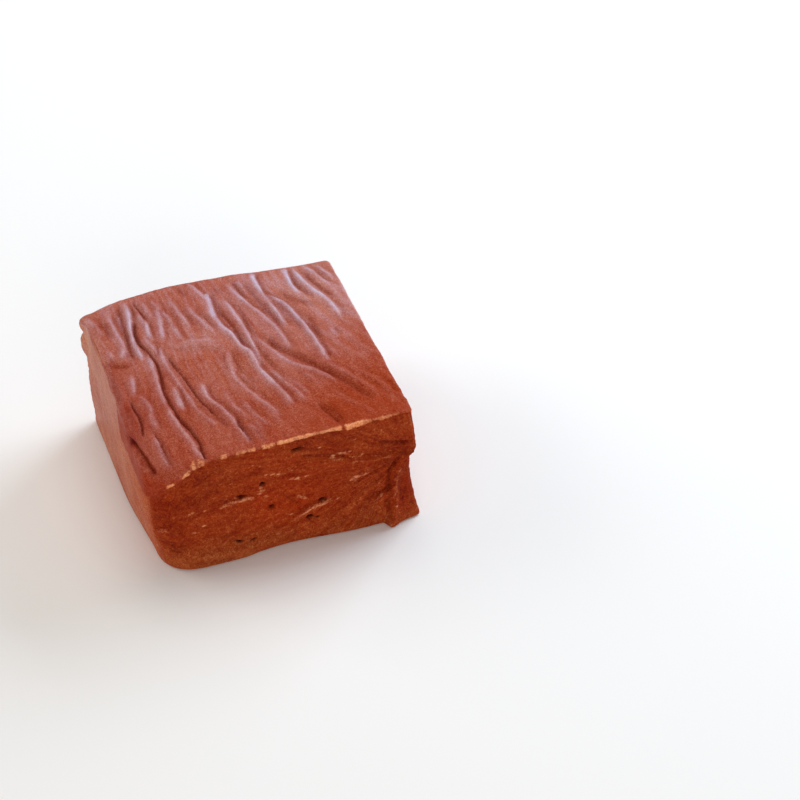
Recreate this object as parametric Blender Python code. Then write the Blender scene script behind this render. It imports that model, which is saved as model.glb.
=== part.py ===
"""Chocolate fudge: one hand-cut square of soft chocolate fudge, resting on its base.

The piece is one solid.  A cube is cut into a lattice and every lattice point is carried onto
the block by form(): straight knife-cut walls, a soft slumped front left shoulder, a risen back
edge, a pressed foot along the front, a tongue of fudge dragged down the front right corner by
the knife, and the folded skin of the top.

Units inside form() are millimetres; the object is built in metres, +Z up, front towards -Y.
"""

import bpy
import bmesh
import math
import numpy as np

# ---------------------------------------------------------------- driving dimensions (mm)
HALF_WIDTH = 18.95       # X, to the flat of the side walls
HALF_DEPTH = 17.75       # Y, to the flat of the front and back walls
HEIGHT = 20.0            # at the front edge of the top
PLAN_R = {"FL": 4.0, "FR": 0.8, "BL": 1.1, "BR": 0.8}      # vertical edges, seen from above
TOP_R_SHARP, TOP_R_LEFT, TOP_R_SHOULDER = 0.45, 1.2, 3.6   # rounding of the top's rim
BASE_R, BASE_R_SHOULDER = 0.45, 0.8                        # rounding of the base's rim
BACK_RISE_X = (-19.2, -17.6, -15.5, -12.0, -7.0, -2.0, 4.0, 9.0, 15.0, 19.2)
BACK_RISE = (0.9, 1.35, 1.7, 2.05, 2.45, 2.45, 2.0, 1.35, 0.8, 0.75)  # the risen back edge, left to right
RISE_UP, RISE_OUT = 0.50, 0.62         # how much of that rise is height, how much a bow in plan
SHOULDER_DROP = 0.9      # the front left shoulder has sunk this far
SHOULDER_TUCK = 1.35     # and its foot is tucked in this far
WALL_BULGE = 0.28        # the walls belly out half way up
FOOT_OUT, FOOT_HIGH = 0.30, 1.5        # the pressed foot along the left half of the front
TOE_OUT = 0.55           # and a slighter one along the right half
EAR_OUT, EAR_HIGH = 0.75, 12.6         # the front right edge is pushed out down to here, above the tongue
TONGUE_TOP = 12.6        # the knife's tongue hangs from here to the base
TONGUE_OUT = 1.75        # and stands this far off the front wall at the base
TONGUE_LEFT = (14.8, 15.4, 17.0)       # its left edge, at the base, half way and at its tip
TONGUE_SOFT = 0.9        # half the width of the slope up onto it
TONGUE_FLARE = 1.5       # the right wall flares out this far at the base of the tongue
CORNER_LIP = 0.8         # the skin hangs over the back left corner
LATTICE_U, LATTICE_V, LATTICE_W = 52, 42, 18

# Folds of the skin: x at the back edge, x at mid depth, x at the front edge, where along the
# depth the fold starts and ends (-1 front .. 1 back), how deep a valley it is (negative for a
# raised crease), how wide.
FOLDS = (
    (-11.9, -12.2, -10.6, -0.97, 0.93, 0.65, 0.70),
    (-11.2, -9.6, -5.4, -0.52, 0.24, 0.50, 0.75),
    (-17.0, -17.3, -17.3, -0.60, -0.10, 0.40, 0.70),
    (-12.6, -13.9, -14.2, 0.20, 0.95, -0.30, 0.80),
    (-16.2, -16.0, -16.2, -0.80, 0.90, -0.22, 0.70),
    (-8.2, -10.4, -9.0, 0.30, 0.85, -0.20, 0.80),
    (-6.3, -4.0, -2.0, 0.30, 0.85, -0.20, 0.80),
    (-9.3, -7.3, -3.6, -0.93, -0.08, -0.28, 0.75),
    (-1.4, 0.9, 4.6, -0.66, 0.86, -0.30, 0.70),
    (2.2, 6.9, 13.2, -0.48, 0.97, -0.28, 0.80),
    (6.3, 10.9, 13.6, -0.22, 0.97, -0.32, 0.75),
    (11.3, 14.4, 16.5, 0.50, 0.97, -0.26, 0.75),
    (13.3, 16.7, 18.2, 0.10, 0.90, -0.22, 0.75),
    (3.4, 6.4, 14.6, -0.90, -0.02, 0.40, 0.90),
)


# ---------------------------------------------------------------- small maths
def smooth(a, b, x):
    """0 below a, 1 above b, with no corner."""
    t = np.clip((x - a) / (b - a), 0.0, 1.0)
    return t * t * (3.0 - 2.0 * t)


def bump(x, centre, half):
    """A bell of height 1, about `half` wide each side."""
    return np.exp(-(((x - centre) / half) ** 2))


def spaced(count):
    """count + 1 stations from -1 to 1, twice as close together at the ends."""
    s = np.linspace(-1.0, 1.0, count + 1)
    return 0.5 * s + 0.5 * np.sin(s * math.pi / 2)


def rise_of_back(x):
    """The back edge's rise: straight between its knots, then eased over 3 mm."""
    out = np.zeros_like(x)
    for shift in (-1.5, -0.75, 0.0, 0.75, 1.5):
        out = out + np.interp(x + shift, BACK_RISE_X, BACK_RISE) / 5
    return out


# ---------------------------------------------------------------- the rounded block
def ring(us, vs):
    """The block's plan outline: points and outward normals for directions on a square."""
    x, y = us * HALF_WIDTH, vs * HALF_DEPTH
    on_side = np.abs(us) >= np.abs(vs)
    nx = np.where(on_side, np.sign(us), 0.0)
    ny = np.where(on_side, 0.0, np.sign(vs))
    for name, sx, sy in (("FL", -1, -1), ("FR", 1, -1), ("BL", -1, 1), ("BR", 1, 1)):
        r = PLAN_R[name]
        dx, dy = HALF_WIDTH - sx * us * HALF_WIDTH, HALF_DEPTH - sy * vs * HALF_DEPTH
        path = np.where(on_side, -dy, dx)
        near = (np.abs(path) < r) & (sx * us > 0) & (sy * vs > 0)
        angle = (path + r) / (2 * r) * (math.pi / 2)
        x = np.where(near, sx * (HALF_WIDTH - r + r * np.cos(angle)), x)
        y = np.where(near, sy * (HALF_DEPTH - r + r * np.sin(angle)), y)
        nx = np.where(near, sx * np.cos(angle), nx)
        ny = np.where(near, sy * np.sin(angle), ny)
    return x, y, nx, ny


def rim_radius(x, y):
    """The rounding of the top's rim: sharp where the knife cut, soft on the left shoulder."""
    left = smooth(-9.0, -19.0, x)
    front = smooth(-1.0, -17.0, y)
    r = TOP_R_SHARP + (TOP_R_LEFT - TOP_R_SHARP) * smooth(-12.0, -18.5, x)
    return r + (TOP_R_SHOULDER - r) * left**2 * (0.25 + 0.75 * front) * front


def rounded_block(u, v, w):
    """Cube surface (u, v in -1..1, w in 0..1) to the rounded block, in mm."""
    m = np.maximum(np.maximum(np.abs(u), np.abs(v)), 1e-6)
    us, vs = u / m, v / m
    bx, by, nx, ny = ring(us, vs)
    side = m > 1.0 - 1e-9
    keep = m**6
    x = u * HALF_WIDTH + (bx - us * HALF_WIDTH) * keep
    y = v * HALF_DEPTH + (by - vs * HALF_DEPTH) * keep
    share = us**2 / np.maximum(us**2 + vs**2, 1e-9)
    inward = (1.0 - m) * (HALF_WIDTH * share + HALF_DEPTH * (1.0 - share))
    z = w * HEIGHT
    shoulder = smooth(-9.0, -18.0, bx) * smooth(-6.0, -17.0, by)
    base_r = BASE_R + (BASE_R_SHOULDER - BASE_R) * shoulder
    for top, r in ((True, rim_radius(bx, by)), (False, base_r)):
        down = HEIGHT - w * HEIGHT if top else w * HEIGHT
        on_face = (w > 1.0 - 1e-9) if top else (w < 1e-9)
        path = np.where(on_face, inward, -down)
        near = (np.abs(path) < r) & (on_face | side)
        angle = (path + r) / (2 * r) * (math.pi / 2)
        inset = r * (1.0 - np.cos(angle)) - np.where(on_face, inward, 0.0)
        x = np.where(near, x - nx * inset, x)
        y = np.where(near, y - ny * inset, y)
        arc = r * (1.0 - np.sin(angle))
        z = np.where(near, HEIGHT - arc if top else arc, z)
    return x, y, z


# ---------------------------------------------------------------- the block as it was cut and slumped
def fold_relief(x, y):
    """How far the folded skin lies below the plain top, in mm."""
    t = y / HALF_DEPTH
    relief = np.zeros_like(x)
    for back, middle, front, start, end, deep, wide in FOLDS:
        line = middle + (back - front) / 2 * t + ((back + front) / 2 - middle) * t * t
        along = smooth(start - 0.12, start + 0.12, t) * smooth(end + 0.10, end - 0.14, t)
        relief = relief + deep * along * bump(x, line, wide)
    return relief


def tongue_edge(z):
    """The left edge of the tongue at a height."""
    base, middle, tip = TONGUE_LEFT
    return middle + (tip - middle) * smooth(7.0, 12.6, z) - (middle - base) * smooth(2.4, 0.0, z)


def slump(x0, y0, z):
    """The plain block's points, in mm, to the block as it was cut and slumped."""
    h = z / HEIGHT
    to_left = smooth(HALF_WIDTH * 0.2, -HALF_WIDTH, x0)
    to_right = smooth(-HALF_WIDTH * 0.2, HALF_WIDTH, x0)
    to_front = smooth(HALF_DEPTH * 0.2, -HALF_DEPTH, y0)
    to_back = smooth(-HALF_DEPTH * 0.2, HALF_DEPTH, y0)
    belly = np.sin(np.pi * np.clip(h, 0.0, 1.0))
    # walls: bellied, and the left one tucked in at the foot of the shoulder
    x = x0 - WALL_BULGE * belly * to_left * (0.4 + 2.3 * smooth(8.0, -5.0, y0))
    y = y0 + 0.8 * WALL_BULGE * belly * to_back
    x = x + SHOULDER_TUCK * to_left * smooth(1.0, -16.0, y0) * (1.0 - h) ** 2
    # back edge: risen in height and bowed in plan
    rise = rise_of_back(x0)
    z = z + RISE_UP * rise * smooth(-17.0, 18.0, y0) * h**2
    y = y + RISE_OUT * rise * to_back**3 * (0.25 + 0.75 * h)
    # front left shoulder: sunk
    z = z - SHOULDER_DROP * smooth(-8.0, -18.5, x0) * smooth(-7.0, -17.0, y0) * h**2
    # front wall: hollow under the rim, a foot pressed out at the base on the left
    front_wall = smooth(-HALF_DEPTH + 2.5, -HALF_DEPTH, y0)
    y = y + 0.25 * front_wall * bump(z, 16.3, 2.6)
    foot = smooth(-16.5, -13.5, x0) * smooth(-4.0, -7.0, x0)
    y = y - FOOT_OUT * foot * front_wall * smooth(FOOT_HIGH + 1.1, FOOT_HIGH - 0.6, z)
    toe = smooth(3.0, 12.0, x0) - 0.6 * bump(x0, 0.0, 4.0)
    y = y - TOE_OUT * toe * front_wall * smooth(5.0, 0.0, z)
    # the skin's lip over the back left corner, with a nick under it
    corner = smooth(-17.2, -19.0, x0) * smooth(14.6, 17.6, y0)
    x = x - CORNER_LIP * corner * (smooth(12.6, 15.0, z) - 0.75 * bump(z, 17.6, 0.8))
    # the front right edge: pushed out above, then the tongue dragged down to the base
    low = np.clip(1.0 - z / TONGUE_TOP, 0.0, 1.0)
    right_wall = smooth(16.8, 18.9, x0) * smooth(-10.0, -17.0, y0)
    left_edge = tongue_edge(z)
    tongue = smooth(left_edge - TONGUE_SOFT, left_edge + TONGUE_SOFT, x0) * front_wall * low**0.7
    y = y - TONGUE_OUT * tongue * (1.0 - 0.85 * smooth(14.0, 18.6, x0))
    ear = EAR_OUT * smooth(21.0, EAR_HIGH, z) - (EAR_OUT + 0.3) * smooth(EAR_HIGH, EAR_HIGH - 1.6, z)
    x = x + right_wall * (ear + TONGUE_FLARE * low**2.4)
    return x, y, z


def form(u, v, w):
    """Cube surface to the finished block."""
    x0, y0, z0 = rounded_block(u, v, w)
    x, y, z = slump(x0, y0, z0)
    on_top = smooth(HEIGHT - 3.2, HEIGHT - 1.2, z)
    inside = smooth(19.4, 17.8, np.abs(x0)) * smooth(18.2, 16.6, np.abs(y0))
    z = z - fold_relief(x, y) * on_top * inside
    return x, y, np.maximum(z, 0.0)


# ---------------------------------------------------------------- building the solid
def clear_scene():
    for o in list(bpy.data.objects):
        bpy.data.objects.remove(o, do_unlink=True)


def lattice_cube():
    """A cube from (-1, -1, 0) to (1, 1, 1), cut into a lattice."""
    bm = bmesh.new()
    bmesh.ops.create_cube(bm, size=2.0)
    for v in bm.verts:
        v.co.z = (v.co.z + 1.0) / 2.0
    cuts = [((t, 0, 0), (1, 0, 0)) for t in spaced(LATTICE_U)[1:-1]]
    cuts += [((0, t, 0), (0, 1, 0)) for t in spaced(LATTICE_V)[1:-1]]
    cuts += [((0, 0, (t + 1) / 2), (0, 0, 1)) for t in spaced(LATTICE_W)[1:-1]]
    for point, normal in cuts:
        geometry = bm.verts[:] + bm.edges[:] + bm.faces[:]
        bmesh.ops.bisect_plane(bm, geom=geometry, dist=1e-7, plane_co=point, plane_no=normal)
    return bm


def flat_base(bm):
    """The base is one flat face inside its rounded rim."""
    inner = [f for f in bm.faces if all(v.co.z < 1e-7 for v in f.verts)]
    bmesh.ops.dissolve_faces(bm, faces=inner, use_verts=True)


def fudge_material():
    mat = bpy.data.materials.new("chocolate_fudge")
    mat.use_nodes = True
    shader = mat.node_tree.nodes["Principled BSDF"]
    shader.inputs["Base Color"].default_value = (0.30, 0.066, 0.030, 1.0)
    shader.inputs["Roughness"].default_value = 0.48
    shader.inputs["Metallic"].default_value = 0.0
    return mat


def build():
    clear_scene()
    parts = bpy.data.collections.new("chocolate_fudge")
    bpy.context.scene.collection.children.link(parts)
    bm = lattice_cube()
    cube = np.array([v.co[:] for v in bm.verts])
    x, y, z = form(cube[:, 0], cube[:, 1], cube[:, 2])
    # the origin is under the middle of the piece's box, on its base
    x = x - (x.min() + x.max()) / 2
    y = y - (y.min() + y.max()) / 2
    for vert, px, py, pz in zip(bm.verts, x, y, z):
        vert.co = (px / 1000.0, py / 1000.0, pz / 1000.0)
    flat_base(bm)
    bmesh.ops.recalc_face_normals(bm, faces=bm.faces[:])
    mesh = bpy.data.meshes.new("fudge_block")
    bm.to_mesh(mesh)
    bm.free()
    mesh.shade_smooth()
    mesh.materials.append(fudge_material())
    block = bpy.data.objects.new("fudge_block", mesh)
    parts.objects.link(block)
    return block


build()
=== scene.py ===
"""Looks of the chocolate fudge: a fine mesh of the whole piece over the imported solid, its
procedural finish, a pale floor, soft lights and the camera.  Lengths inside the shape
functions are millimetres, in the solid's own form frame; the mesh is placed in metres."""

import bpy
import math
import numpy as np
from mathutils import Matrix, Vector


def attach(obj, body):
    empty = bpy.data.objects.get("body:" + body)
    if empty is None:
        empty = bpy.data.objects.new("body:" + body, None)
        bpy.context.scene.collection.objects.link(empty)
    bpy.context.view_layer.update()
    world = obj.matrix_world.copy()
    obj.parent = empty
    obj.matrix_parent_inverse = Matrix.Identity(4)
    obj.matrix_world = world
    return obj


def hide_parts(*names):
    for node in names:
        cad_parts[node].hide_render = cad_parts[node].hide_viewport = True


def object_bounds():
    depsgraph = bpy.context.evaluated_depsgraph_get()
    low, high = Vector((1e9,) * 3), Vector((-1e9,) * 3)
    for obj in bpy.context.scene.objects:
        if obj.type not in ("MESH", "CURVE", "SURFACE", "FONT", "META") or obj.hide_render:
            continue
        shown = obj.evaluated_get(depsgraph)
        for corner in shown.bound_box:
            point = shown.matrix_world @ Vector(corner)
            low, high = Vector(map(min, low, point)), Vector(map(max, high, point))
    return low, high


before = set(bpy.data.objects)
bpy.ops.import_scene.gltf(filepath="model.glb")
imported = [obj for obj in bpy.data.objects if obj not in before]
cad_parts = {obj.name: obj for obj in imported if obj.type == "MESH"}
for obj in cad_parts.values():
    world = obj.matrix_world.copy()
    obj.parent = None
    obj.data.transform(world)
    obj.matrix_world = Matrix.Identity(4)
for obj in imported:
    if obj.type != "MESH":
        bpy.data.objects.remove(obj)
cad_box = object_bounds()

# ================================================================ the piece's form (as built in CAD)
HALF_WIDTH, HALF_DEPTH, HEIGHT = 18.95, 17.75, 20.0
PLAN_R = {"FL": 4.0, "FR": 0.8, "BL": 1.1, "BR": 0.8}
TOP_R_SHARP, TOP_R_LEFT, TOP_R_SHOULDER = 0.45, 1.2, 3.6
BASE_R, BASE_R_SHOULDER = 0.45, 0.8
BACK_RISE_X = (-19.2, -17.6, -15.5, -12.0, -7.0, -2.0, 4.0, 9.0, 15.0, 19.2)
BACK_RISE = (0.9, 1.35, 1.7, 2.05, 2.45, 2.45, 2.0, 1.35, 0.8, 0.75)
RISE_UP, RISE_OUT = 0.50, 0.62
SHOULDER_DROP = 0.9
SHOULDER_TUCK = 1.35
WALL_BULGE = 0.28
FOOT_OUT, FOOT_HIGH = 0.30, 1.5
TOE_OUT = 0.55
EAR_OUT, EAR_HIGH = 0.75, 12.6
TONGUE_TOP = 12.6
TONGUE_OUT = 1.75
TONGUE_LEFT = (14.8, 15.4, 17.0)
TONGUE_SOFT = 0.55
TONGUE_FLARE = 1.5
CORNER_LIP = 0.8
CAD_LATTICE = (52, 42, 18)

# ================================================================ this mesh
STATIONS_U, STATIONS_V, STATIONS_W = 200, 132, 100
SEED = 11


def smooth(a, b, x):
    t = np.clip((x - a) / (b - a), 0.0, 1.0)
    return t * t * (3.0 - 2.0 * t)


def bump(x, centre, half):
    return np.exp(-(((x - centre) / half) ** 2))


def spaced(count, ease=0.5):
    """count + 1 stations from -1 to 1, closer together at the ends."""
    s = np.linspace(-1.0, 1.0, count + 1)
    return (1.0 - ease) * s + ease * np.sin(s * math.pi / 2)


def rise_of_back(x):
    out = np.zeros_like(x)
    for shift in (-1.5, -0.75, 0.0, 0.75, 1.5):
        out = out + np.interp(x + shift, BACK_RISE_X, BACK_RISE) / 5
    return out


def ring(us, vs):
    x, y = us * HALF_WIDTH, vs * HALF_DEPTH
    on_side = np.abs(us) >= np.abs(vs)
    nx = np.where(on_side, np.sign(us), 0.0)
    ny = np.where(on_side, 0.0, np.sign(vs))
    for name, sx, sy in (("FL", -1, -1), ("FR", 1, -1), ("BL", -1, 1), ("BR", 1, 1)):
        r = PLAN_R[name]
        dx, dy = HALF_WIDTH - sx * us * HALF_WIDTH, HALF_DEPTH - sy * vs * HALF_DEPTH
        path = np.where(on_side, -dy, dx)
        near = (np.abs(path) < r) & (sx * us > 0) & (sy * vs > 0)
        angle = (path + r) / (2 * r) * (math.pi / 2)
        x = np.where(near, sx * (HALF_WIDTH - r + r * np.cos(angle)), x)
        y = np.where(near, sy * (HALF_DEPTH - r + r * np.sin(angle)), y)
        nx = np.where(near, sx * np.cos(angle), nx)
        ny = np.where(near, sy * np.sin(angle), ny)
    return x, y, nx, ny


def rim_radius(x, y):
    left = smooth(-9.0, -19.0, x)
    front = smooth(-1.0, -17.0, y)
    r = TOP_R_SHARP + (TOP_R_LEFT - TOP_R_SHARP) * smooth(-12.0, -18.5, x)
    return r + (TOP_R_SHOULDER - r) * left**2 * (0.25 + 0.75 * front) * front


def rounded_block(u, v, w):
    m = np.maximum(np.maximum(np.abs(u), np.abs(v)), 1e-6)
    us, vs = u / m, v / m
    bx, by, nx, ny = ring(us, vs)
    side = m > 1.0 - 1e-9
    keep = m**6
    x = u * HALF_WIDTH + (bx - us * HALF_WIDTH) * keep
    y = v * HALF_DEPTH + (by - vs * HALF_DEPTH) * keep
    share = us**2 / np.maximum(us**2 + vs**2, 1e-9)
    inward = (1.0 - m) * (HALF_WIDTH * share + HALF_DEPTH * (1.0 - share))
    z = w * HEIGHT
    shoulder = smooth(-9.0, -18.0, bx) * smooth(-6.0, -17.0, by)
    base_r = BASE_R + (BASE_R_SHOULDER - BASE_R) * shoulder
    for top, r in ((True, rim_radius(bx, by)), (False, base_r)):
        down = HEIGHT - w * HEIGHT if top else w * HEIGHT
        on_face = (w > 1.0 - 1e-9) if top else (w < 1e-9)
        path = np.where(on_face, inward, -down)
        near = (np.abs(path) < r) & (on_face | side)
        angle = (path + r) / (2 * r) * (math.pi / 2)
        inset = r * (1.0 - np.cos(angle)) - np.where(on_face, inward, 0.0)
        x = np.where(near, x - nx * inset, x)
        y = np.where(near, y - ny * inset, y)
        arc = r * (1.0 - np.sin(angle))
        z = np.where(near, HEIGHT - arc if top else arc, z)
    return x, y, z


def slump(x0, y0, z):
    h = z / HEIGHT
    to_left = smooth(HALF_WIDTH * 0.2, -HALF_WIDTH, x0)
    to_back = smooth(-HALF_DEPTH * 0.2, HALF_DEPTH, y0)
    belly = np.sin(np.pi * np.clip(h, 0.0, 1.0))
    x = x0 - WALL_BULGE * belly * to_left * (0.4 + 2.3 * smooth(8.0, -5.0, y0))
    y = y0 + 0.8 * WALL_BULGE * belly * to_back
    x = x + SHOULDER_TUCK * to_left * smooth(1.0, -16.0, y0) * (1.0 - h) ** 2
    rise = rise_of_back(x0)
    z = z + RISE_UP * rise * smooth(-17.0, 18.0, y0) * h**2
    y = y + RISE_OUT * rise * to_back**3 * (0.25 + 0.75 * h)
    z = z - SHOULDER_DROP * smooth(-8.0, -18.5, x0) * smooth(-7.0, -17.0, y0) * h**2
    front_wall = smooth(-HALF_DEPTH + 2.5, -HALF_DEPTH, y0)
    y = y + 0.25 * front_wall * bump(z, 16.3, 2.6)
    foot = smooth(-16.5, -13.5, x0) * smooth(-4.0, -7.0, x0)
    y = y - FOOT_OUT * foot * front_wall * smooth(FOOT_HIGH + 1.1, FOOT_HIGH - 0.6, z)
    toe = smooth(3.0, 12.0, x0) - 0.6 * bump(x0, 0.0, 4.0)
    y = y - TOE_OUT * toe * front_wall * smooth(5.0, 0.0, z)
    corner = smooth(-17.2, -19.0, x0) * smooth(14.6, 17.6, y0)
    x = x - CORNER_LIP * corner * (smooth(12.6, 15.0, z) - 0.75 * bump(z, 17.6, 0.8))
    low = np.clip(1.0 - z / TONGUE_TOP, 0.0, 1.0)
    right_wall = smooth(16.8, 18.9, x0) * smooth(-10.0, -17.0, y0)
    left_edge = tongue_edge(z)
    tongue = smooth(left_edge - TONGUE_SOFT, left_edge + TONGUE_SOFT, x0) * front_wall * low**0.7
    y = y - TONGUE_OUT * tongue * (1.0 - 0.85 * smooth(14.0, 18.6, x0))
    ear = EAR_OUT * smooth(21.0, EAR_HIGH, z) - (EAR_OUT + 0.3) * smooth(EAR_HIGH, EAR_HIGH - 1.6, z)
    x = x + right_wall * (ear + TONGUE_FLARE * low**2.4)
    return x, y, z


def tongue_edge(z):
    base, middle, tip = TONGUE_LEFT
    return middle + (tip - middle) * smooth(7.0, 12.6, z) - (middle - base) * smooth(2.4, 0.0, z)


def cad_centre():
    """The middle of the CAD solid's box in the form frame, which CAD puts at the origin."""
    nu, nv, nw = CAD_LATTICE
    su, sv, sw = spaced(nu), spaced(nv), (spaced(nw) + 1) / 2
    u, v, w = np.meshgrid(su, sv, sw, indexing="ij")
    on = (np.abs(u) > 1 - 1e-9) | (np.abs(v) > 1 - 1e-9) | (w < 1e-9) | (w > 1 - 1e-9)
    x, y, _ = slump(*rounded_block(u[on], v[on], w[on]))
    return np.array([(x.min() + x.max()) / 2, (y.min() + y.max()) / 2, 0.0])


# ================================================================ noise
def hashed(i, j, k, seed):
    n = (i * 73856093) ^ (j * 19349663) ^ (k * 83492791) ^ (seed * 2654435761)
    n = (n ^ (n >> 13)) * 1274126177 & 0xFFFFFFFF
    n = (n ^ (n >> 16)) * 668265263 & 0xFFFFFFFF
    return ((n ^ (n >> 15)) & 0xFFFFFF) / float(0xFFFFFF) * 2.0 - 1.0


def noise(p, seed=0):
    """Smooth value noise of points (n, 3), about -1 to 1."""
    cell = np.floor(p).astype(np.int64)
    f = p - cell
    f = f * f * f * (f * (f * 6 - 15) + 10)
    out = 0.0
    for a in (0, 1):
        for b in (0, 1):
            for c in (0, 1):
                weight = (
                    (f[:, 0] if a else 1 - f[:, 0])
                    * (f[:, 1] if b else 1 - f[:, 1])
                    * (f[:, 2] if c else 1 - f[:, 2])
                )
                out = out + weight * hashed(cell[:, 0] + a, cell[:, 1] + b, cell[:, 2] + c, seed)
    return out


def fbm(p, seed=0, octaves=4, gain=0.5):
    out, size = 0.0, 1.0
    for o in range(octaves):
        out = out + size * noise(p * 2.03**o + 17.3 * o, seed + o)
        size *= gain
    return out / sum(gain**o for o in range(octaves))


# Where the folded skin ends on the front wall: it hangs over the sunken left shoulder.
SKIN_EDGE_X = (-18.9, -18.5, -17.6, -16.6, -14.9, -13.2, -11.2, -10.0)
SKIN_EDGE_Z = (16.0, 16.3, 16.7, 17.0, 17.8, 19.0, 19.75, 19.9)


# ================================================================ lattice mesh
def lattice():
    """The cube's surface as (u, v, w) points, quads, the base's n-gon, and each quad's face id."""
    su = spaced(STATIONS_U, 0.30)
    sv = spaced(STATIONS_V, 0.30)
    sw = (spaced(STATIONS_W, 0.45) + 1) / 2
    nu, nv, nw = STATIONS_U, STATIONS_V, STATIONS_W
    index = -np.ones((nu + 1, nv + 1, nw + 1), np.int64)
    keep = np.zeros_like(index, bool)
    keep[0], keep[-1], keep[:, 0], keep[:, -1] = True, True, True, True
    keep[:, :, -1] = True
    rim = 4  # rings of quads round the flat of the base
    keep[: rim + 1, :, 0] = keep[-rim - 1 :, :, 0] = True
    keep[:, : rim + 1, 0] = keep[:, -rim - 1 :, 0] = True
    index[keep] = np.arange(keep.sum())
    i, j, k = np.nonzero(keep)
    order = index[i, j, k]
    uvw = np.empty((keep.sum(), 3))
    uvw[order] = np.stack([su[i], sv[j], sw[k]], 1)

    def quads(a, b, c, d, inside=None):
        q = np.stack([a, b, c, d], -1).reshape(-1, 4)
        return q[(q >= 0).all(1)]

    top = quads(index[:-1, :-1, -1], index[1:, :-1, -1], index[1:, 1:, -1], index[:-1, 1:, -1])
    front = quads(index[:-1, 0, :-1], index[1:, 0, :-1], index[1:, 0, 1:], index[:-1, 0, 1:])
    back = quads(index[:-1, -1, :-1], index[:-1, -1, 1:], index[1:, -1, 1:], index[1:, -1, :-1])
    left = quads(index[0, :-1, :-1], index[0, :-1, 1:], index[0, 1:, 1:], index[0, 1:, :-1])
    right = quads(index[-1, :-1, :-1], index[-1, 1:, :-1], index[-1, 1:, 1:], index[-1, :-1, 1:])
    base = quads(index[:-1, :-1, 0], index[:-1, 1:, 0], index[1:, 1:, 0], index[1:, :-1, 0])
    a, b, c, d = rim, nu - rim, rim, nv - rim
    hole = (
        [index[x, c, 0] for x in range(a, b)]
        + [index[b, y, 0] for y in range(c, d)]
        + [index[x, d, 0] for x in range(b, a, -1)]
        + [index[a, y, 0] for y in range(d, c, -1)]
    )
    groups = [top, front, back, left, right, base]
    ids = np.concatenate([np.full(len(g), n) for n, g in enumerate(groups)])
    return uvw, np.concatenate(groups), ids, hole[::-1]


def vertex_normals(p, quads):
    a, b, c, d = (p[quads[:, n]] for n in range(4))
    n = np.cross(c - a, d - b)
    out = np.zeros_like(p)
    for axis in range(3):
        out[:, axis] = np.bincount(
            quads.ravel(), np.repeat(n[:, axis], 4), minlength=len(p)
        )
    return out / np.maximum(np.linalg.norm(out, axis=1), 1e-9)[:, None]


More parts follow.
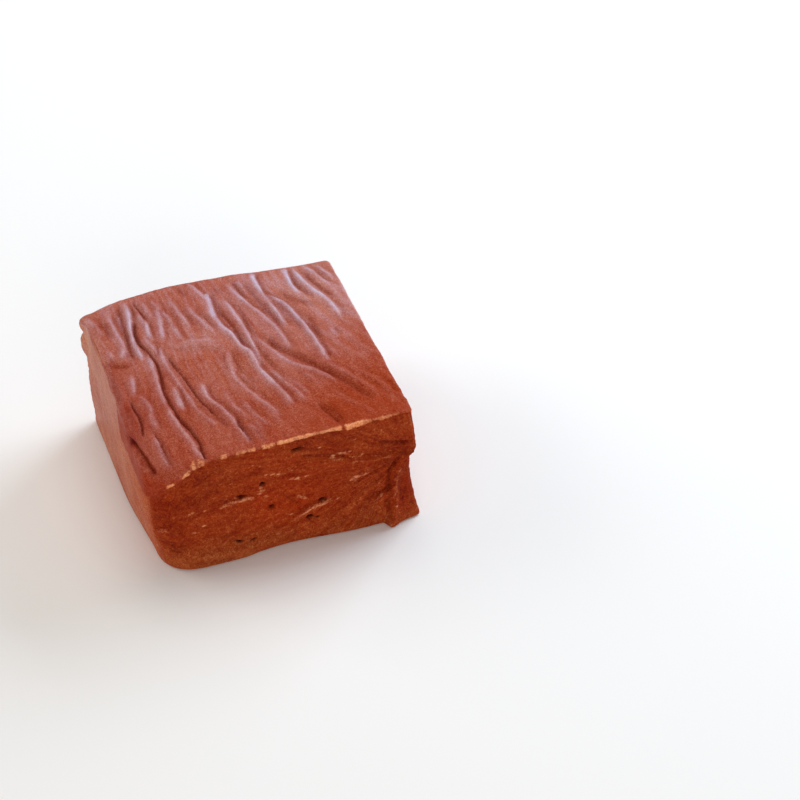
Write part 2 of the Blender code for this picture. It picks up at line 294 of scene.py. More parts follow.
# ================================================================ creases, drawn on the surface
# Each line starts with its kind.  Ridges and grooves of the top skin are given by (x, y), those
# of the front wall by (x, z), and any that lie on the rounded shoulder by (x, y, z).  Then:
# height or depth in mm, half widths on the left and right of the line (as seen from above, or
# from in front), and how strongly its painted light and shade show: a painted highlight on a
# ridge's crest with painted shade in the trough after it, painted shade along a groove.  A ridge
# is a pleat: a long slope up on its left, a short drop on its right and a slight trough after it.
TOP_LINES = (
    ("ridge", 0.10, 0.40, 0.26, 1.15, (-0.8, 15.9), (-1.1, 13.4), (-1.2, 10.9), (-1.1, 8.7)),
    ("ridge", 0.12, 0.45, 0.28, 1.15, (7.0, 18.5), (6.7, 16.2), (6.7, 14.2), (6.9, 11.9)),
    ("ridge", 0.12, 0.45, 0.28, 1.05, (11.8, 18.2), (11.7, 15.9), (11.7, 13.8)),
    ("ridge", 0.10, 0.40, 0.26, 1.10, (10.5, 6.2), (10.6, 3.9), (10.8, 1.4)),
    ("ridge", 0.10, 0.40, 0.26, 0.95, (-12.5, 17.3), (-12.7, 15.5), (-12.9, 13.4)),
    ("ridge", 0.08, 0.40, 0.26, 0.90, (-10.9, 12.9), (-11.1, 10.6), (-11.0, 8.4)),
    ("ridge", 0.08, 0.40, 0.26, 1.10, (-10.9, -1.8), (-10.9, -4.3), (-10.8, -7.0)),
    ("ridge", 0.34, 0.80, 0.34, 0.85, (-12.8, 18.2), (-12.8, 16.0), (-13.0, 13.7), (-13.5, 11.3), (-13.7, 8.9), (-13.6, 6.8), (-13.4, 4.3)),
    ("ridge", 0.24, 0.75, 0.38, 0.62, (-16.0, 16.5), (-15.7, 14.2), (-15.5, 11.7), (-15.3, 9.6), (-15.2, 7.5)),
    ("ridge", 0.20, 0.55, 0.35, 0.55, (-15.4, 9.2), (-15.7, 7.4), (-16.4, 5.3)),
    ("ridge", 0.16, 0.50, 0.35, 0.35, (-17.6, 9.0), (-17.3, 6.0)),
    ("ridge", 0.22, 0.60, 0.30, 0.60, (-15.8, 2.6), (-16.1, 0.6), (-16.6, -1.9)),
    ("ridge", 0.26, 0.75, 0.35, 0.50, (-15.9, -1.6), (-15.4, -3.7), (-15.3, -5.4), (-15.5, -7.2), (-15.6, -10.0)),
    ("ridge", 0.24, 0.55, 0.26, 0.50, (-16.3, -9.9, 19.9), (-16.1, -11.1, 19.8), (-16.0, -12.4, 19.6), (-15.9, -13.9, 19.4), (-15.8, -15.4, 19.1), (-15.4, -16.5, 18.9)),
    ("ridge", 0.22, 0.60, 0.34, 0.60, (-11.6, 15.0), (-11.4, 13.0), (-11.2, 10.6)),
    ("ridge", 0.20, 0.60, 0.34, 0.50, (-12.0, 9.8), (-11.5, 6.9), (-11.1, 5.2)),
    ("ridge", 0.22, 0.70, 0.34, 0.66, (-8.7, 15.7), (-8.8, 13.4), (-9.1, 11.2), (-9.4, 9.0), (-9.6, 7.3)),
    ("ridge", 0.16, 0.80, 0.40, 0.48, (-8.2, 14.8), (-7.7, 12.5), (-7.5, 9.9), (-7.3, 7.7), (-6.8, 6.2)),
    ("ridge", 0.16, 0.80, 0.40, 0.46, (-6.8, 16.7), (-6.2, 14.5), (-5.9, 12.5), (-5.5, 10.2), (-5.1, 8.3)),
    ("ridge", 0.18, 0.80, 0.40, 0.46, (-4.3, 14.3), (-4.1, 11.9), (-3.4, 10.0), (-2.8, 8.1), (-2.1, 6.3)),
    ("ridge", 0.36, 0.80, 0.36, 1.00, (-0.9, 15.8), (-1.1, 13.7), (-1.3, 11.6), (-1.3, 10.0), (-1.1, 8.3), (-0.6, 6.9), (-0.1, 5.7), (0.2, 4.2), (0.4, 2.9), (0.9, 1.9), (1.3, 0.7), (1.4, -0.8), (1.5, -2.4), (1.9, -4.0), (2.4, -5.7), (3.0, -7.9), (3.4, -9.6), (3.5, -11.1)),
    ("ridge", 0.26, 0.90, 0.42, 0.72, (2.5, 17.1), (2.9, 15.0), (3.4, 13.4), (3.9, 11.8), (4.6, 10.2), (5.3, 8.8), (5.7, 7.5), (6.2, 5.7), (6.6, 3.8), (6.9, 1.9), (7.1, 0.0)),
    ("ridge", 0.24, 0.75, 0.36, 0.66, (0.8, 14.0), (1.3, 11.7), (1.7, 9.9), (1.9, 8.2), (2.0, 6.6), (2.1, 5.0), (2.1, 3.2), (2.1, 1.4), (2.1, -0.2), (2.1, -1.9)),
    ("ridge", 0.30, 0.80, 0.38, 0.80, (6.7, 16.6), (6.7, 14.7), (6.8, 12.7), (7.1, 10.7), (7.5, 8.6), (7.7, 6.5), (7.8, 4.6)),
    ("ridge", 0.34, 0.85, 0.36, 0.92, (6.7, 13.3), (7.9, 11.9), (9.0, 10.4), (9.7, 8.3), (10.1, 6.4), (10.4, 4.7), (10.8, 2.9), (10.9, 1.3), (11.1, -0.6), (11.2, -2.3), (11.6, -4.2)),
    ("ridge", 0.24, 0.70, 0.36, 0.78, (11.4, 16.3), (11.5, 14.2), (11.8, 12.5), (12.6, 11.1)),
    ("ridge", 0.26, 0.90, 0.50, 0.74, (12.8, 17.9), (13.2, 15.7), (13.6, 14.0), (14.2, 12.1), (15.0, 10.4), (15.7, 8.6), (16.0, 6.5), (15.9, 4.1)),
    ("ridge", 0.18, 0.70, 0.36, 0.55, (14.5, 18.1), (15.3, 16.3), (16.0, 14.8), (16.7, 13.0), (17.3, 11.6)),
    ("ridge", 0.18, 0.70, 0.36, 0.50, (16.1, 17.8), (16.8, 16.3), (17.6, 14.7), (18.3, 13.1)),
    ("ridge", 0.20, 0.50, 0.32, 0.80, (13.9, 3.2), (14.4, 0.6)),
    ("ridge", 0.22, 0.85, 0.42, 0.50, (2.4, 5.2), (4.1, 1.4), (6.1, -2.6), (8.6, -4.8), (11.2, -8.4)),
    ("ridge", 0.24, 0.80, 0.40, 0.50, (-1.6, 3.2), (-2.1, 0.3), (-2.2, -3.5), (-0.7, -7.5), (1.6, -12.4)),
    ("ridge", 0.32, 0.90, 0.36, 0.85, (-7.1, -1.9), (-7.0, -5.7), (-5.9, -8.6), (-4.9, -11.7), (-4.7, -13.3), (-3.7, -16.6)),
    ("ridge", 0.18, 0.70, 0.36, 0.40, (-4.8, -4.4), (-4.0, -8.7), (-2.8, -12.2)),
    ("ridge", 0.18, 0.70, 0.36, 0.40, (-3.0, -7.2), (-1.9, -11.1), (-0.4, -14.0)),
    ("ridge", 0.20, 0.75, 0.38, 0.45, (3.0, -2.7), (3.7, -5.1), (4.8, -8.1), (6.0, -11.1)),
    ("ridge", 0.14, 0.60, 0.34, 0.32, (4.3, -4.7), (5.5, -7.0), (6.7, -9.8)),
    ("ridge", 0.14, 0.60, 0.34, 0.30, (-1.5, -2.0), (-1.0, -3.3), (-0.5, -5.2)),
    ("ridge", 0.18, 0.45, 0.30, 0.50, (4.1, 17.4), (4.3, 16.1), (4.7, 14.6)),
    ("ridge", 0.12, 0.50, 0.34, 0.28, (-0.1, -8.6), (0.5, -11.3), (1.2, -14.4)),
    ("ridge", 0.12, 0.50, 0.34, 0.26, (-2.4, -11.6), (-1.6, -15.4)),
    ("ridge", 0.12, 0.45, 0.34, 0.26, (6.8, -4.8), (8.0, -6.6), (9.3, -9.0)),
    ("ridge", 0.20, 0.45, 0.30, 0.55, (-2.9, 19.0), (-2.1, 16.9), (-1.5, 15.0), (-1.1, 13.4)),
    ("ridge", 0.12, 0.50, 0.34, 0.30, (-9.0, 17.2), (-8.5, 14.7), (-8.0, 11.9)),
    ("ridge", 0.06, 0.30, 0.30, 0.55, (-18.9, 6.0), (-19.0, 3.1), (-19.1, 1.0), (-19.2, -2.2)),
    ("ridge", 0.24, 0.60, 0.30, 0.50, (-10.6, 7.1), (-10.7, 3.3), (-10.3, -0.8), (-9.7, -4.2), (-9.2, -7.2), (-8.5, -9.4), (-7.4, -11.5)),
    ("ridge", 0.26, 0.80, 0.30, 0.75, (-13.0, -5.0), (-12.7, -7.6), (-12.3, -10.0), (-11.8, -12.6), (-11.4, -15.3), (-11.0, -17.2)),
    ("ridge", 0.24, 0.75, 0.30, 0.70, (-12.7, 5.6), (-12.6, 2.6), (-12.8, -0.5), (-13.0, -4.2), (-12.8, -6.6)),
    ("ridge", 0.16, 1.60, 0.60, 0.15, (-1.0, 3.6), (-5.4, 5.1), (-9.7, 6.5)),
    ("ridge", 0.14, 0.70, 0.40, 0.25, (10.6, -3.4), (11.9, -5.5), (13.2, -7.7), (14.6, -10.2), (16.0, -13.0)),
    ("ridge", 0.13, 0.60, 0.40, 0.20, (9.6, -9.6), (12.2, -13.8), (14.2, -16.8)),
    ("ridge", 0.13, 0.60, 0.40, 0.20, (13.6, -5.2), (16.4, -10.2), (17.8, -15.4)),
    ("groove", 0.34, 0.24, 0.30, 0.90, (-11.6, 17.9), (-11.2, 16.0), (-10.9, 14.2), (-10.7, 12.6)),
    ("groove", 0.52, 0.17, 0.27, 0.95, (-12.4, 13.4), (-13.0, 11.1), (-13.0, 8.8), (-12.4, 6.8), (-12.0, 5.1), (-11.8, 3.2), (-12.0, 1.1), (-12.3, -0.5), (-12.4, -2.4), (-12.3, -4.2), (-12.1, -5.9), (-11.9, -7.7), (-11.7, -9.2), (-11.1, -10.9), (-10.8, -12.5), (-10.6, -13.8), (-10.9, -16.1), (-10.5, -17.5)),
    ("groove", 0.24, 0.34, 0.34, 0.45, (-10.9, 7.5), (-11.0, 4.2)),
    ("groove", 0.44, 0.17, 0.30, 0.90, (-10.0, 4.6), (-9.6, 2.2), (-9.2, 0.2), (-8.7, -2.7), (-8.3, -5.2), (-7.7, -7.3), (-7.0, -9.4)),
    ("groove", 0.26, 0.34, 0.44, 0.50, (-7.6, -7.6), (-6.8, -10.2), (-6.0, -12.8)),
    ("groove", 0.30, 0.50, 0.42, 0.80, (-13.8, 17.6), (-14.0, 14.4), (-14.2, 10.9), (-14.5, 7.6), (-14.5, 5.0)),
    ("groove", 0.46, 0.24, 0.30, 0.90, (-17.3, -2.2, 20.3), (-17.3, -3.8, 20.2), (-17.0, -5.6, 20.2), (-17.1, -7.5, 20.1), (-17.3, -8.9, 20.0), (-17.5, -9.9, 19.7)),
    ("groove", 0.30, 0.45, 0.32, 0.80, (7.0, -11.2), (7.4, -12.8), (8.2, -14.9), (8.9, -17.2)),
    ("groove", 0.34, 0.22, 0.26, 0.90, (-4.6, -10.4), (-4.5, -12.4), (-4.2, -14.6), (-3.5, -16.6)),
    ("groove", 0.20, 0.20, 0.22, 0.60, (-2.7, -13.6), (-2.4, -15.6), (-2.1, -16.8)),
    ("groove", 0.22, 0.15, 0.20, 0.80, (-16.1, -9.2, 19.9), (-15.8, -10.9, 19.8), (-15.6, -12.3, 19.6), (-15.5, -13.7, 19.4), (-15.3, -15.2, 19.1), (-14.8, -16.5, 18.9)),
    ("groove", 0.66, 0.34, 0.40, 1.00, (-19.2, -6.3, 17.5), (-19.2, -8.0, 18.3), (-18.9, -9.7, 18.7), (-18.6, -11.2, 18.7), (-18.3, -12.6, 18.6), (-18.1, -13.9, 18.5), (-17.8, -15.3, 18.2), (-17.4, -16.3, 17.7)),
    ("ridge", 0.16, 0.40, 0.26, 0.30, (-19.2, -9.6, 17.6), (-18.9, -12.4, 17.7), (-18.5, -14.6, 17.3)),
    ("groove", 0.24, 0.30, 0.32, 0.45, (-15.8, -11.6), (-15.8, -13.8), (-15.4, -16.1)),
    ("groove", 0.26, 0.40, 0.44, 0.70, (-0.4, 12.0), (0.2, 9.9), (0.6, 8.0), (0.9, 6.0), (0.9, 4.0), (1.0, 2.2)),
    ("groove", 0.20, 0.36, 0.40, 0.65, (3.2, 17.9), (3.7, 15.8), (4.0, 14.4), (4.3, 12.7)),
    ("groove", 0.18, 0.45, 0.50, 0.60, (12.2, 17.5), (12.4, 15.2), (12.6, 13.1), (13.3, 11.4), (13.9, 10.0)),
    ("groove", 0.18, 0.45, 0.45, 0.70, (14.4, 16.4), (14.9, 14.2), (15.5, 12.2), (16.2, 10.7), (17.1, 9.4)),
    ("groove", 0.14, 0.70, 0.80, 0.55, (9.1, 13.2), (10.2, 11.4), (11.5, 10.1), (13.0, 9.1), (14.6, 8.3)),
    ("groove", 0.12, 0.36, 0.40, 0.38, (-0.2, 13.8), (-0.1, 11.4), (0.2, 9.0), (0.5, 7.1)),
    ("groove", 0.12, 0.40, 0.45, 0.38, (-2.3, 3.0), (-2.7, 0.6), (-2.8, -2.4)),
    ("groove", 0.16, 0.45, 0.50, 0.45, (2.9, 1.6), (3.3, -1.2), (3.8, -3.8), (4.6, -6.7)),
    ("groove", 0.30, 0.34, 0.34, 0.60, (-4.6, -10.4), (-4.3, -13.6), (-3.5, -16.2)),
    ("groove", 0.46, 0.90, 0.60, 0.55, (7.6, -11.4), (8.4, -13.4), (9.0, -15.4), (9.3, -17.6)),
    ("groove", 0.30, 0.55, 0.75, 0.75, (4.0, 3.9), (4.9, 2.0), (6.0, 0.3), (7.2, -1.3), (8.6, -3.1), (9.8, -4.8), (11.1, -6.7), (12.3, -8.7), (13.5, -11.2), (14.8, -13.9)),
    ("groove", 0.22, 0.55, 0.50, 0.70, (-18.8, 6.6), (-17.9, 5.6), (-16.6, 4.7), (-14.9, 3.9)),
    ("groove", 0.16, 0.40, 0.45, 0.45, (-0.9, 3.0), (-1.1, 0.7), (-1.0, -1.5), (-0.5, -3.7), (0.2, -5.6)),
    ("groove", 0.16, 0.50, 0.60, 0.55, (-17.3, 15.6), (-16.8, 13.5), (-16.4, 10.5)),
    ("groove", 0.16, 0.45, 0.50, 0.50, (-5.2, 18.8), (-4.3, 17.4), (-3.5, 15.2)),
    ("groove", 0.14, 0.40, 0.45, 0.48, (0.3, 17.4), (0.7, 14.5)),
    ("groove", 0.14, 0.40, 0.45, 0.42, (-3.6, 13.1), (-2.9, 10.9), (-2.1, 8.8)),
    ("groove", 0.12, 0.40, 0.45, 0.40, (-5.6, 14.0), (-5.0, 11.7), (-4.4, 9.2)),
    ("groove", 0.18, 0.45, 0.50, 0.58, (4.7, 16.7), (5.3, 14.3), (5.8, 12.0), (6.4, 9.4), (7.0, 6.7), (7.1, 4.8)),
    ("groove", 0.16, 0.50, 0.60, 0.48, (8.3, 11.3), (9.0, 8.7), (9.5, 5.7), (9.9, 3.2)),
    ("groove", 0.18, 0.50, 0.55, 0.58, (11.6, 7.4), (11.8, 5.2), (11.9, 3.3), (12.1, 1.1)),
    ("groove", 0.16, 0.40, 0.45, 0.52, (2.6, 12.0), (2.7, 9.4), (2.6, 7.1), (2.7, 4.5)),
    ("groove", 0.14, 0.45, 0.45, 0.48, (15.9, 16.6), (16.5, 14.9), (17.2, 13.3), (18.0, 11.8)),
    ("groove", 0.14, 0.50, 0.50, 0.55, (17.5, 16.8), (18.3, 15.5)),
    ("ridge", 0.16, 0.55, 0.36, 0.42, (-10.4, 17.7), (-10.1, 15.6), (-10.0, 13.9), (-9.9, 12.0)),
    ("ridge", 0.12, 0.45, 0.34, 0.34, (-14.4, 16.0), (-14.3, 13.3), (-14.4, 11.3)),
    ("ridge", 0.14, 0.50, 0.34, 0.42, (0.2, 16.6), (0.3, 14.4)),
    ("ridge", 0.10, 0.45, 0.34, 0.28, (-18.8, 17.5), (-18.2, 15.7), (-17.7, 13.7), (-17.3, 11.6)),
    ("ridge", 0.14, 0.45, 0.34, 0.42, (-3.7, -12.4), (-2.8, -13.7), (-2.4, -15.0), (-2.2, -16.8)),
    ("ridge", 0.12, 0.50, 0.34, 0.30, (-8.1, 6.2), (-6.1, 6.1), (-4.0, 5.6), (-2.0, 4.7)),
)
FRONT_LINES = (
    ("groove", 0.24, 0.18, 0.22, 0.90, (2.2, 16.7), (6.0, 15.4), (9.7, 14.1)),
    ("ridge", 0.10, 0.18, 0.22, 0.55, (6.2, 14.8), (8.9, 13.9)),
    ("ridge", 0.10, 0.16, 0.20, 0.55, (8.1, 15.3), (9.8, 14.7)),
    ("ridge", 0.10, 0.16, 0.20, 0.50, (10.0, 14.1), (11.6, 13.6)),
    ("groove", 0.12, 0.18, 0.20, 0.50, (-0.8, 14.2), (3.4, 12.9)),
    ("ridge", 0.16, 0.25, 0.25, 0.65, (1.5, 9.4), (3.8, 7.9)),
    ("ridge", 0.10, 0.16, 0.18, 0.55, (-12.4, 12.2), (-11.6, 11.6)),
    ("ridge", 0.10, 0.16, 0.18, 0.50, (-13.9, 9.4), (-13.0, 8.6)),
    ("groove", 0.20, 0.22, 0.24, 0.70, (-0.8, 11.4), (0.6, 9.2), (2.3, 7.2)),
    ("groove", 0.14, 0.20, 0.22, 0.50, (-0.4, 10.2), (1.4, 9.4), (3.4, 8.6)),
    ("ridge", 0.20, 0.26, 0.30, 0.85, (1.1, 4.9), (2.5, 5.7), (3.6, 6.2), (5.0, 6.5), (7.4, 6.7)),
    ("ridge", 0.16, 0.22, 0.22, 0.75, (-9.6, 10.7), (-8.6, 11.0), (-7.2, 11.2), (-5.4, 11.1), (-4.2, 10.9)),
    ("ridge", 0.26, 0.40, 0.45, 0.60, (12.0, 3.9), (13.4, 4.9), (14.8, 5.5)),
    ("ridge", 0.20, 0.35, 0.40, 0.25, (12.3, 10.5), (14.6, 11.1), (16.4, 11.5)),
    ("ridge", 0.16, 0.30, 0.40, 0.25, (9.3, 13.3), (13.0, 12.7), (16.6, 12.2)),
    ("groove", 0.46, 0.21, 0.25, 1.00, (17.2, 12.3), (16.4, 11.1), (15.5, 9.8), (15.2, 8.4), (15.1, 6.6), (14.4, 5.9), (12.8, 5.8)),
    ("groove", 0.34, 0.30, 0.30, 0.75, (11.9, 9.5), (13.7, 10.4), (15.2, 11.1), (16.7, 11.9)),
    ("groove", 0.38, 0.32, 0.32, 1.00, (13.6, 15.6), (15.6, 14.9), (17.4, 14.3), (18.9, 13.9)),
    ("groove", 0.30, 0.34, 0.34, 0.90, (16.6, 12.5), (17.6, 12.4), (18.5, 12.2)),
    ("groove", 0.18, 0.28, 0.28, 0.45, (13.9, 14.3), (16.5, 13.6), (18.8, 13.1)),
    ("groove", 0.36, 0.24, 0.30, 1.00, (15.1, 4.6), (15.0, 3.8), (15.0, 2.2)),
    ("ridge", 0.22, 0.45, 0.60, 0.45, (17.5, 10.8), (16.9, 9.4), (16.3, 8.0), (16.1, 6.3), (16.2, 3.4)),
    ("groove", 0.24, 0.26, 0.26, 0.75, (-8.2, 4.3), (-7.4, 3.6), (-6.4, 3.1)),
    ("groove", 0.22, 0.24, 0.24, 0.70, (-5.6, 3.0), (-5.0, 3.0), (-4.3, 3.2)),
    ("ridge", 0.16, 0.50, 0.45, 0.30, (-14.3, 2.7), (-10.7, 2.0), (-7.1, 1.8), (-4.0, 2.0)),
    ("groove", 0.08, 0.40, 0.40, 0.45, (-14.4, 1.5), (-10.8, 0.9), (-7.2, 0.6)),
    ("groove", 0.24, 0.18, 0.20, 0.90, (-17.1, 5.1), (-16.4, 4.4), (-15.6, 4.0), (-14.9, 4.2)),
    ("groove", 0.24, 0.18, 0.20, 0.90, (-15.1, 3.1), (-14.6, 2.0)),
    ("ridge", 0.08, 0.18, 0.20, 0.35, (-16.3, 5.8), (-15.4, 4.8)),
    ("groove", 0.22, 0.16, 0.18, 0.85, (-18.4, -16.3, 14.6), (-17.6, -16.9, 14.9)),
    ("groove", 0.16, 0.16, 0.18, 0.75, (-19.1, -14.7, 16.4), (-18.9, -15.6, 15.8)),
    ("groove", 0.22, 0.16, 0.18, 0.85, (-18.8, -15.7, 9.6), (-18.3, -16.5, 9.7)),
    ("groove", 0.24, 0.18, 0.20, 0.85, (-17.9, -16.5, 6.3), (-17.3, -17.0, 6.0), (-16.8, -17.2, 6.1)),
    ("groove", 0.20, 0.16, 0.18, 0.70, (-16.9, -17.2, 6.1), (-16.1, -17.5, 4.9), (-14.8, -17.7, 4.2)),
    ("ridge", 0.16, 0.20, 0.22, 0.70, (-18.2, -16.4, 7.9), (-17.4, -17.1, 8.7), (-16.6, -17.5, 8.6)),
    ("ridge", 0.14, 0.18, 0.20, 0.60, (-16.1, -17.6, 5.5), (-15.2, -17.7, 4.3)),
    ("groove", 0.10, 0.16, 0.16, 0.50, (-14.9, 14.0), (-14.1, 13.8)),
    ("groove", 0.10, 0.22, 0.22, 0.50, (11.6, 4.9), (13.0, 5.5)),
    ("groove", 0.12, 0.30, 0.30, 0.35, (-9.0, 18.6), (-10.8, 16.8), (-13.2, 15.7)),
    ("groove", 0.10, 0.30, 0.30, 0.25, (-7.4, 17.4), (-9.6, 15.2), (-13.2, 12.4)),
    ("ridge", 0.08, 0.20, 0.22, 0.30, (-17.7, 8.5), (-16.6, 8.9)),
    ("groove", 0.14, 0.22, 0.26, 0.50, (-17.9, 6.9), (-16.4, 6.4)),
)
# Air pits of the front wall: (x, z), half width, half height, depth.  Their near-black colour is painted shade.
FRONT_PITS = (
    (2.1, 17.9, 0.72, 0.34, 0.60), (-3.1, 13.1, 0.40, 0.34, 0.55), (-6.2, 11.7, 0.54, 0.22, 0.50),
    (-2.0, 8.5, 0.44, 0.34, 0.55), (5.5, 7.1, 0.46, 0.28, 0.55), (3.6, 4.4, 0.54, 0.34, 0.60),
    (4.6, 4.2, 0.40, 0.18, 0.35), (-6.9, 3.2, 0.50, 0.22, 0.40),
    (-5.0, 3.0, 0.42, 0.20, 0.35),
)
# Torn flecks of the front wall, raised and painted with a glint colour: (x, z), half length, half width, height, slope
# of the fleck.
FRONT_FLECKS = (
    (-3.4, 12.5, 0.24, 0.16, 0.10, -0.2), (-3.0, 12.1, 0.31, 0.17, 0.12, 0.2), (-3.7, 11.5, 0.41, 0.18, 0.12, 0.1),
    (-3.5, 12.0, 0.19, 0.16, 0.08, 0.0), (-9.4, 10.7, 0.31, 0.14, 0.08, 0.2), (-8.6, 11.1, 0.41, 0.16, 0.10, 0.2),
    (-7.6, 11.2, 0.26, 0.13, 0.08, 0.0), (-6.5, 11.0, 0.29, 0.13, 0.08, 0.0), (-5.4, 10.9, 0.24, 0.12, 0.06, 0.0),
    (1.0, 13.0, 0.31, 0.16, 0.10, -0.2), (1.8, 12.7, 0.36, 0.16, 0.10, -0.2), (3.1, 12.7, 0.26, 0.13, 0.08, -0.2),
    (0.9, 14.5, 0.34, 0.14, 0.08, -0.2), (-2.6, 14.8, 0.26, 0.13, 0.06, 0.2), (-1.6, 14.6, 0.31, 0.13, 0.08, 0.2),
    (-0.8, 14.3, 0.24, 0.13, 0.06, 0.0), (8.2, 15.1, 0.31, 0.14, 0.08, -0.3), (9.0, 15.0, 0.29, 0.14, 0.08, -0.3),
    (9.7, 15.1, 0.24, 0.13, 0.08, -0.2), (10.0, 14.0, 0.31, 0.14, 0.08, -0.3), (11.4, 13.9, 0.29, 0.13, 0.08, -0.2),
    (6.5, 7.1, 0.24, 0.14, 0.08, 0.0), (7.6, 6.7, 0.24, 0.14, 0.08, 0.0), (2.5, 5.7, 0.29, 0.16, 0.10, 0.3),
    (3.5, 6.2, 0.53, 0.22, 0.16, 0.3), (4.9, 6.6, 0.31, 0.14, 0.10, 0.1), (9.8, 9.7, 0.34, 0.20, 0.10, -0.3),
    (10.5, 10.1, 0.36, 0.20, 0.12, 0.0), (11.1, 10.1, 0.34, 0.18, 0.12, 0.1), (11.9, 10.2, 0.31, 0.16, 0.10, 0.1),
    (10.4, 9.4, 0.24, 0.16, 0.08, 0.0), (-4.3, 17.2, 0.17, 0.14, 0.06, 0.0), (-7.2, 7.8, 0.19, 0.13, 0.06, 0.0),
    (5.3, 17.1, 0.19, 0.13, 0.06, 0.0), (10.5, 17.0, 0.22, 0.13, 0.06, 0.3), (-11.7, 11.0, 0.17, 0.13, 0.06, 0.0),
    (16.2, 3.4, 0.24, 0.21, 0.08, 0.0), (15.0, 1.0, 0.26, 0.72, 0.06, 0.0),
)
# The torn burr of the front rim, piece by piece: from x, to x, how wide it is at each end, how strong its painted
# highlight is.
BURRS = (
    (-16.4, -14.9, 0.30, 0.34, 0.85), (-14.2, -12.3, 0.56, 0.60, 0.80), (-12.1, -11.0, 0.42, 0.46, 0.85),
    (-10.4, -9.6, 0.22, 0.18, 0.45), (-9.0, -7.8, 0.38, 0.34, 0.78), (-6.8, -5.0, 0.32, 0.30, 0.76),
    (-5.2, -3.8, 0.32, 0.36, 0.82), (-3.1, -0.9, 0.33, 0.30, 0.80), (-0.9, 2.5, 0.32, 0.40, 0.95),
    (2.0, 4.5, 0.40, 0.36, 1.00), (4.3, 6.6, 0.32, 0.32, 0.90), (6.3, 8.6, 0.34, 0.32, 0.95),
    (9.0, 10.6, 0.52, 0.34, 1.00), (10.3, 12.6, 0.40, 0.32, 0.98), (12.3, 14.9, 0.32, 0.26, 0.86),
    (14.7, 17.2, 0.25, 0.14, 0.55),
)
# Softly lighter and darker places of the skin's painted sheen: (x, y), half widths, amount.
SHEEN_PATCHES = (
    (14.1, 12.6, 2.6, 1.8, 0.32), (16.2, 7.4, 2.0, 2.0, 0.30), (11.6, 15.4, 1.8, 1.6, 0.18), (-4.6, 6.2, 3.8, 1.0, 0.22),
    (-5.8, 2.3, 3.4, 1.0, -0.24), (-16.8, 13.6, 1.5, 2.4, -0.35), (-16.6, 5.0, 2.0, 0.8, -0.30), (-10.6, 15.8, 2.2, 1.1, -0.22),
    (4.6, 13.4, 1.6, 2.6, 0.10), (-15.6, 0.0, 3.6, 7.0, -0.12), (-13.3, -12.0, 2.4, 3.0, 0.10), (1.9, -3.8, 3.0, 3.0, 0.10),
    (-18.8, 2.0, 1.1, 5.0, -0.30), (-18.9, -6.0, 1.2, 3.5, -0.12),
    (8.6, 1.0, 2.6, 3.2, 0.12), (-8.6, -12.6, 2.6, 3.2, 0.14), (9.0, -14.2, 1.6, 2.2, -0.22),
)


# Softly paler (-) and deeper (+) places anywhere on the piece: (x, y, z), size, amount.
TONES = (
    (-17.8, -15.8, 14.5, 3.6, 0.13), (-17.4, -16.8, 9.0, 4.5, 0.09), (-18.6, -4.5, 20.0, 3.0, 0.18), (-18.8, 0.5, 20.0, 2.4, 0.10),
    (-19.3, 3.0, 11.0, 6.0, 0.05), (-19.3, -9.0, 14.0, 5.0, 0.08), (-13.0, -17.7, 11.0, 4.0, 0.04), (-5.0, -17.7, 16.0, 4.5, 0.07),
    (17.4, -18.0, 9.0, 3.0, 0.14), (10.0, -17.7, 15.5, 4.0, 0.06), (17.7, -17.7, 14.2, 1.6, 0.14), (3.0, -17.7, 11.0, 4.0, 0.06),
    (14.0, 12.0, 20.4, 5.0, -0.09), (-3.0, 1.0, 20.6, 6.0, -0.07), (-1.0, -5.0, 20.4, 5.0, -0.04),
    (-19.3, -2.0, 8.0, 5.0, 0.10), (-19.3, -9.5, 8.0, 5.0, 0.15), (-19.0, 9.6, 15.7, 4.0, -0.06), (-17.6, -9.0, 19.8, 2.4, 0.07), (18.8, -18.6, 5.0, 2.6, 0.22),
    (-19.0, -8.4, 18.4, 0.8, 0.6),
)


def curve_through(points, step=0.25):
    """A smooth curve through 3-D control points, as points about `step` apart."""
    p = np.array(points, float)
    if len(p) == 2:
        p = np.array([p[0], (p[0] + p[1]) / 2, p[1]])
    p = np.vstack([2 * p[0] - p[1], p, 2 * p[-1] - p[-2]])
    out = []
    for a, b, c, d in zip(p, p[1:], p[2:], p[3:]):
        n = max(2, int(np.linalg.norm(c - b) / step))
        t = (np.arange(n) / n)[:, None]
        out.append(
            0.5 * (2 * b + (c - a) * t + (2 * a - 5 * b + 4 * c - d) * t**2 + (3 * b - a - 3 * c + d) * t**3)
        )
    out.append(p[-2][None])
    return np.concatenate(out)


def beside(curve, p, normals, reach):
    """For the points of p near the curve: which they are, their distance to the left (-) or
    right (+) of it, and their distance from its nearer end measured along it."""
    low, high = curve.min(0) - reach, curve.max(0) + reach
    near = np.nonzero(((p > low) & (p < high)).all(1))[0]
    q = p[near]
    a, b = curve[:-1], curve[1:]
    along = b - a
    length = np.linalg.norm(along, axis=1)
    at = np.concatenate([[0.0], np.cumsum(length)])
    best = np.full(len(q), np.inf)
    side = np.zeros(len(q))
    place = np.zeros(len(q))
    for n in range(len(a)):
        t = np.clip(((q - a[n]) @ along[n]) / (length[n] ** 2), 0.0, 1.0)
        off = q - (a[n] + t[:, None] * along[n])
        d = np.linalg.norm(off, axis=1)
        closer = d < best
        turn = np.cross(along[n], off)
        sign = np.sign((turn * normals[near]).sum(1))
        best = np.where(closer, d, best)
        side = np.where(closer, sign, side)
        place = np.where(closer, at[n] + t * length[n], place)
    return near, best * np.where(side == 0, 1, side), np.minimum(place, at[-1] - place)


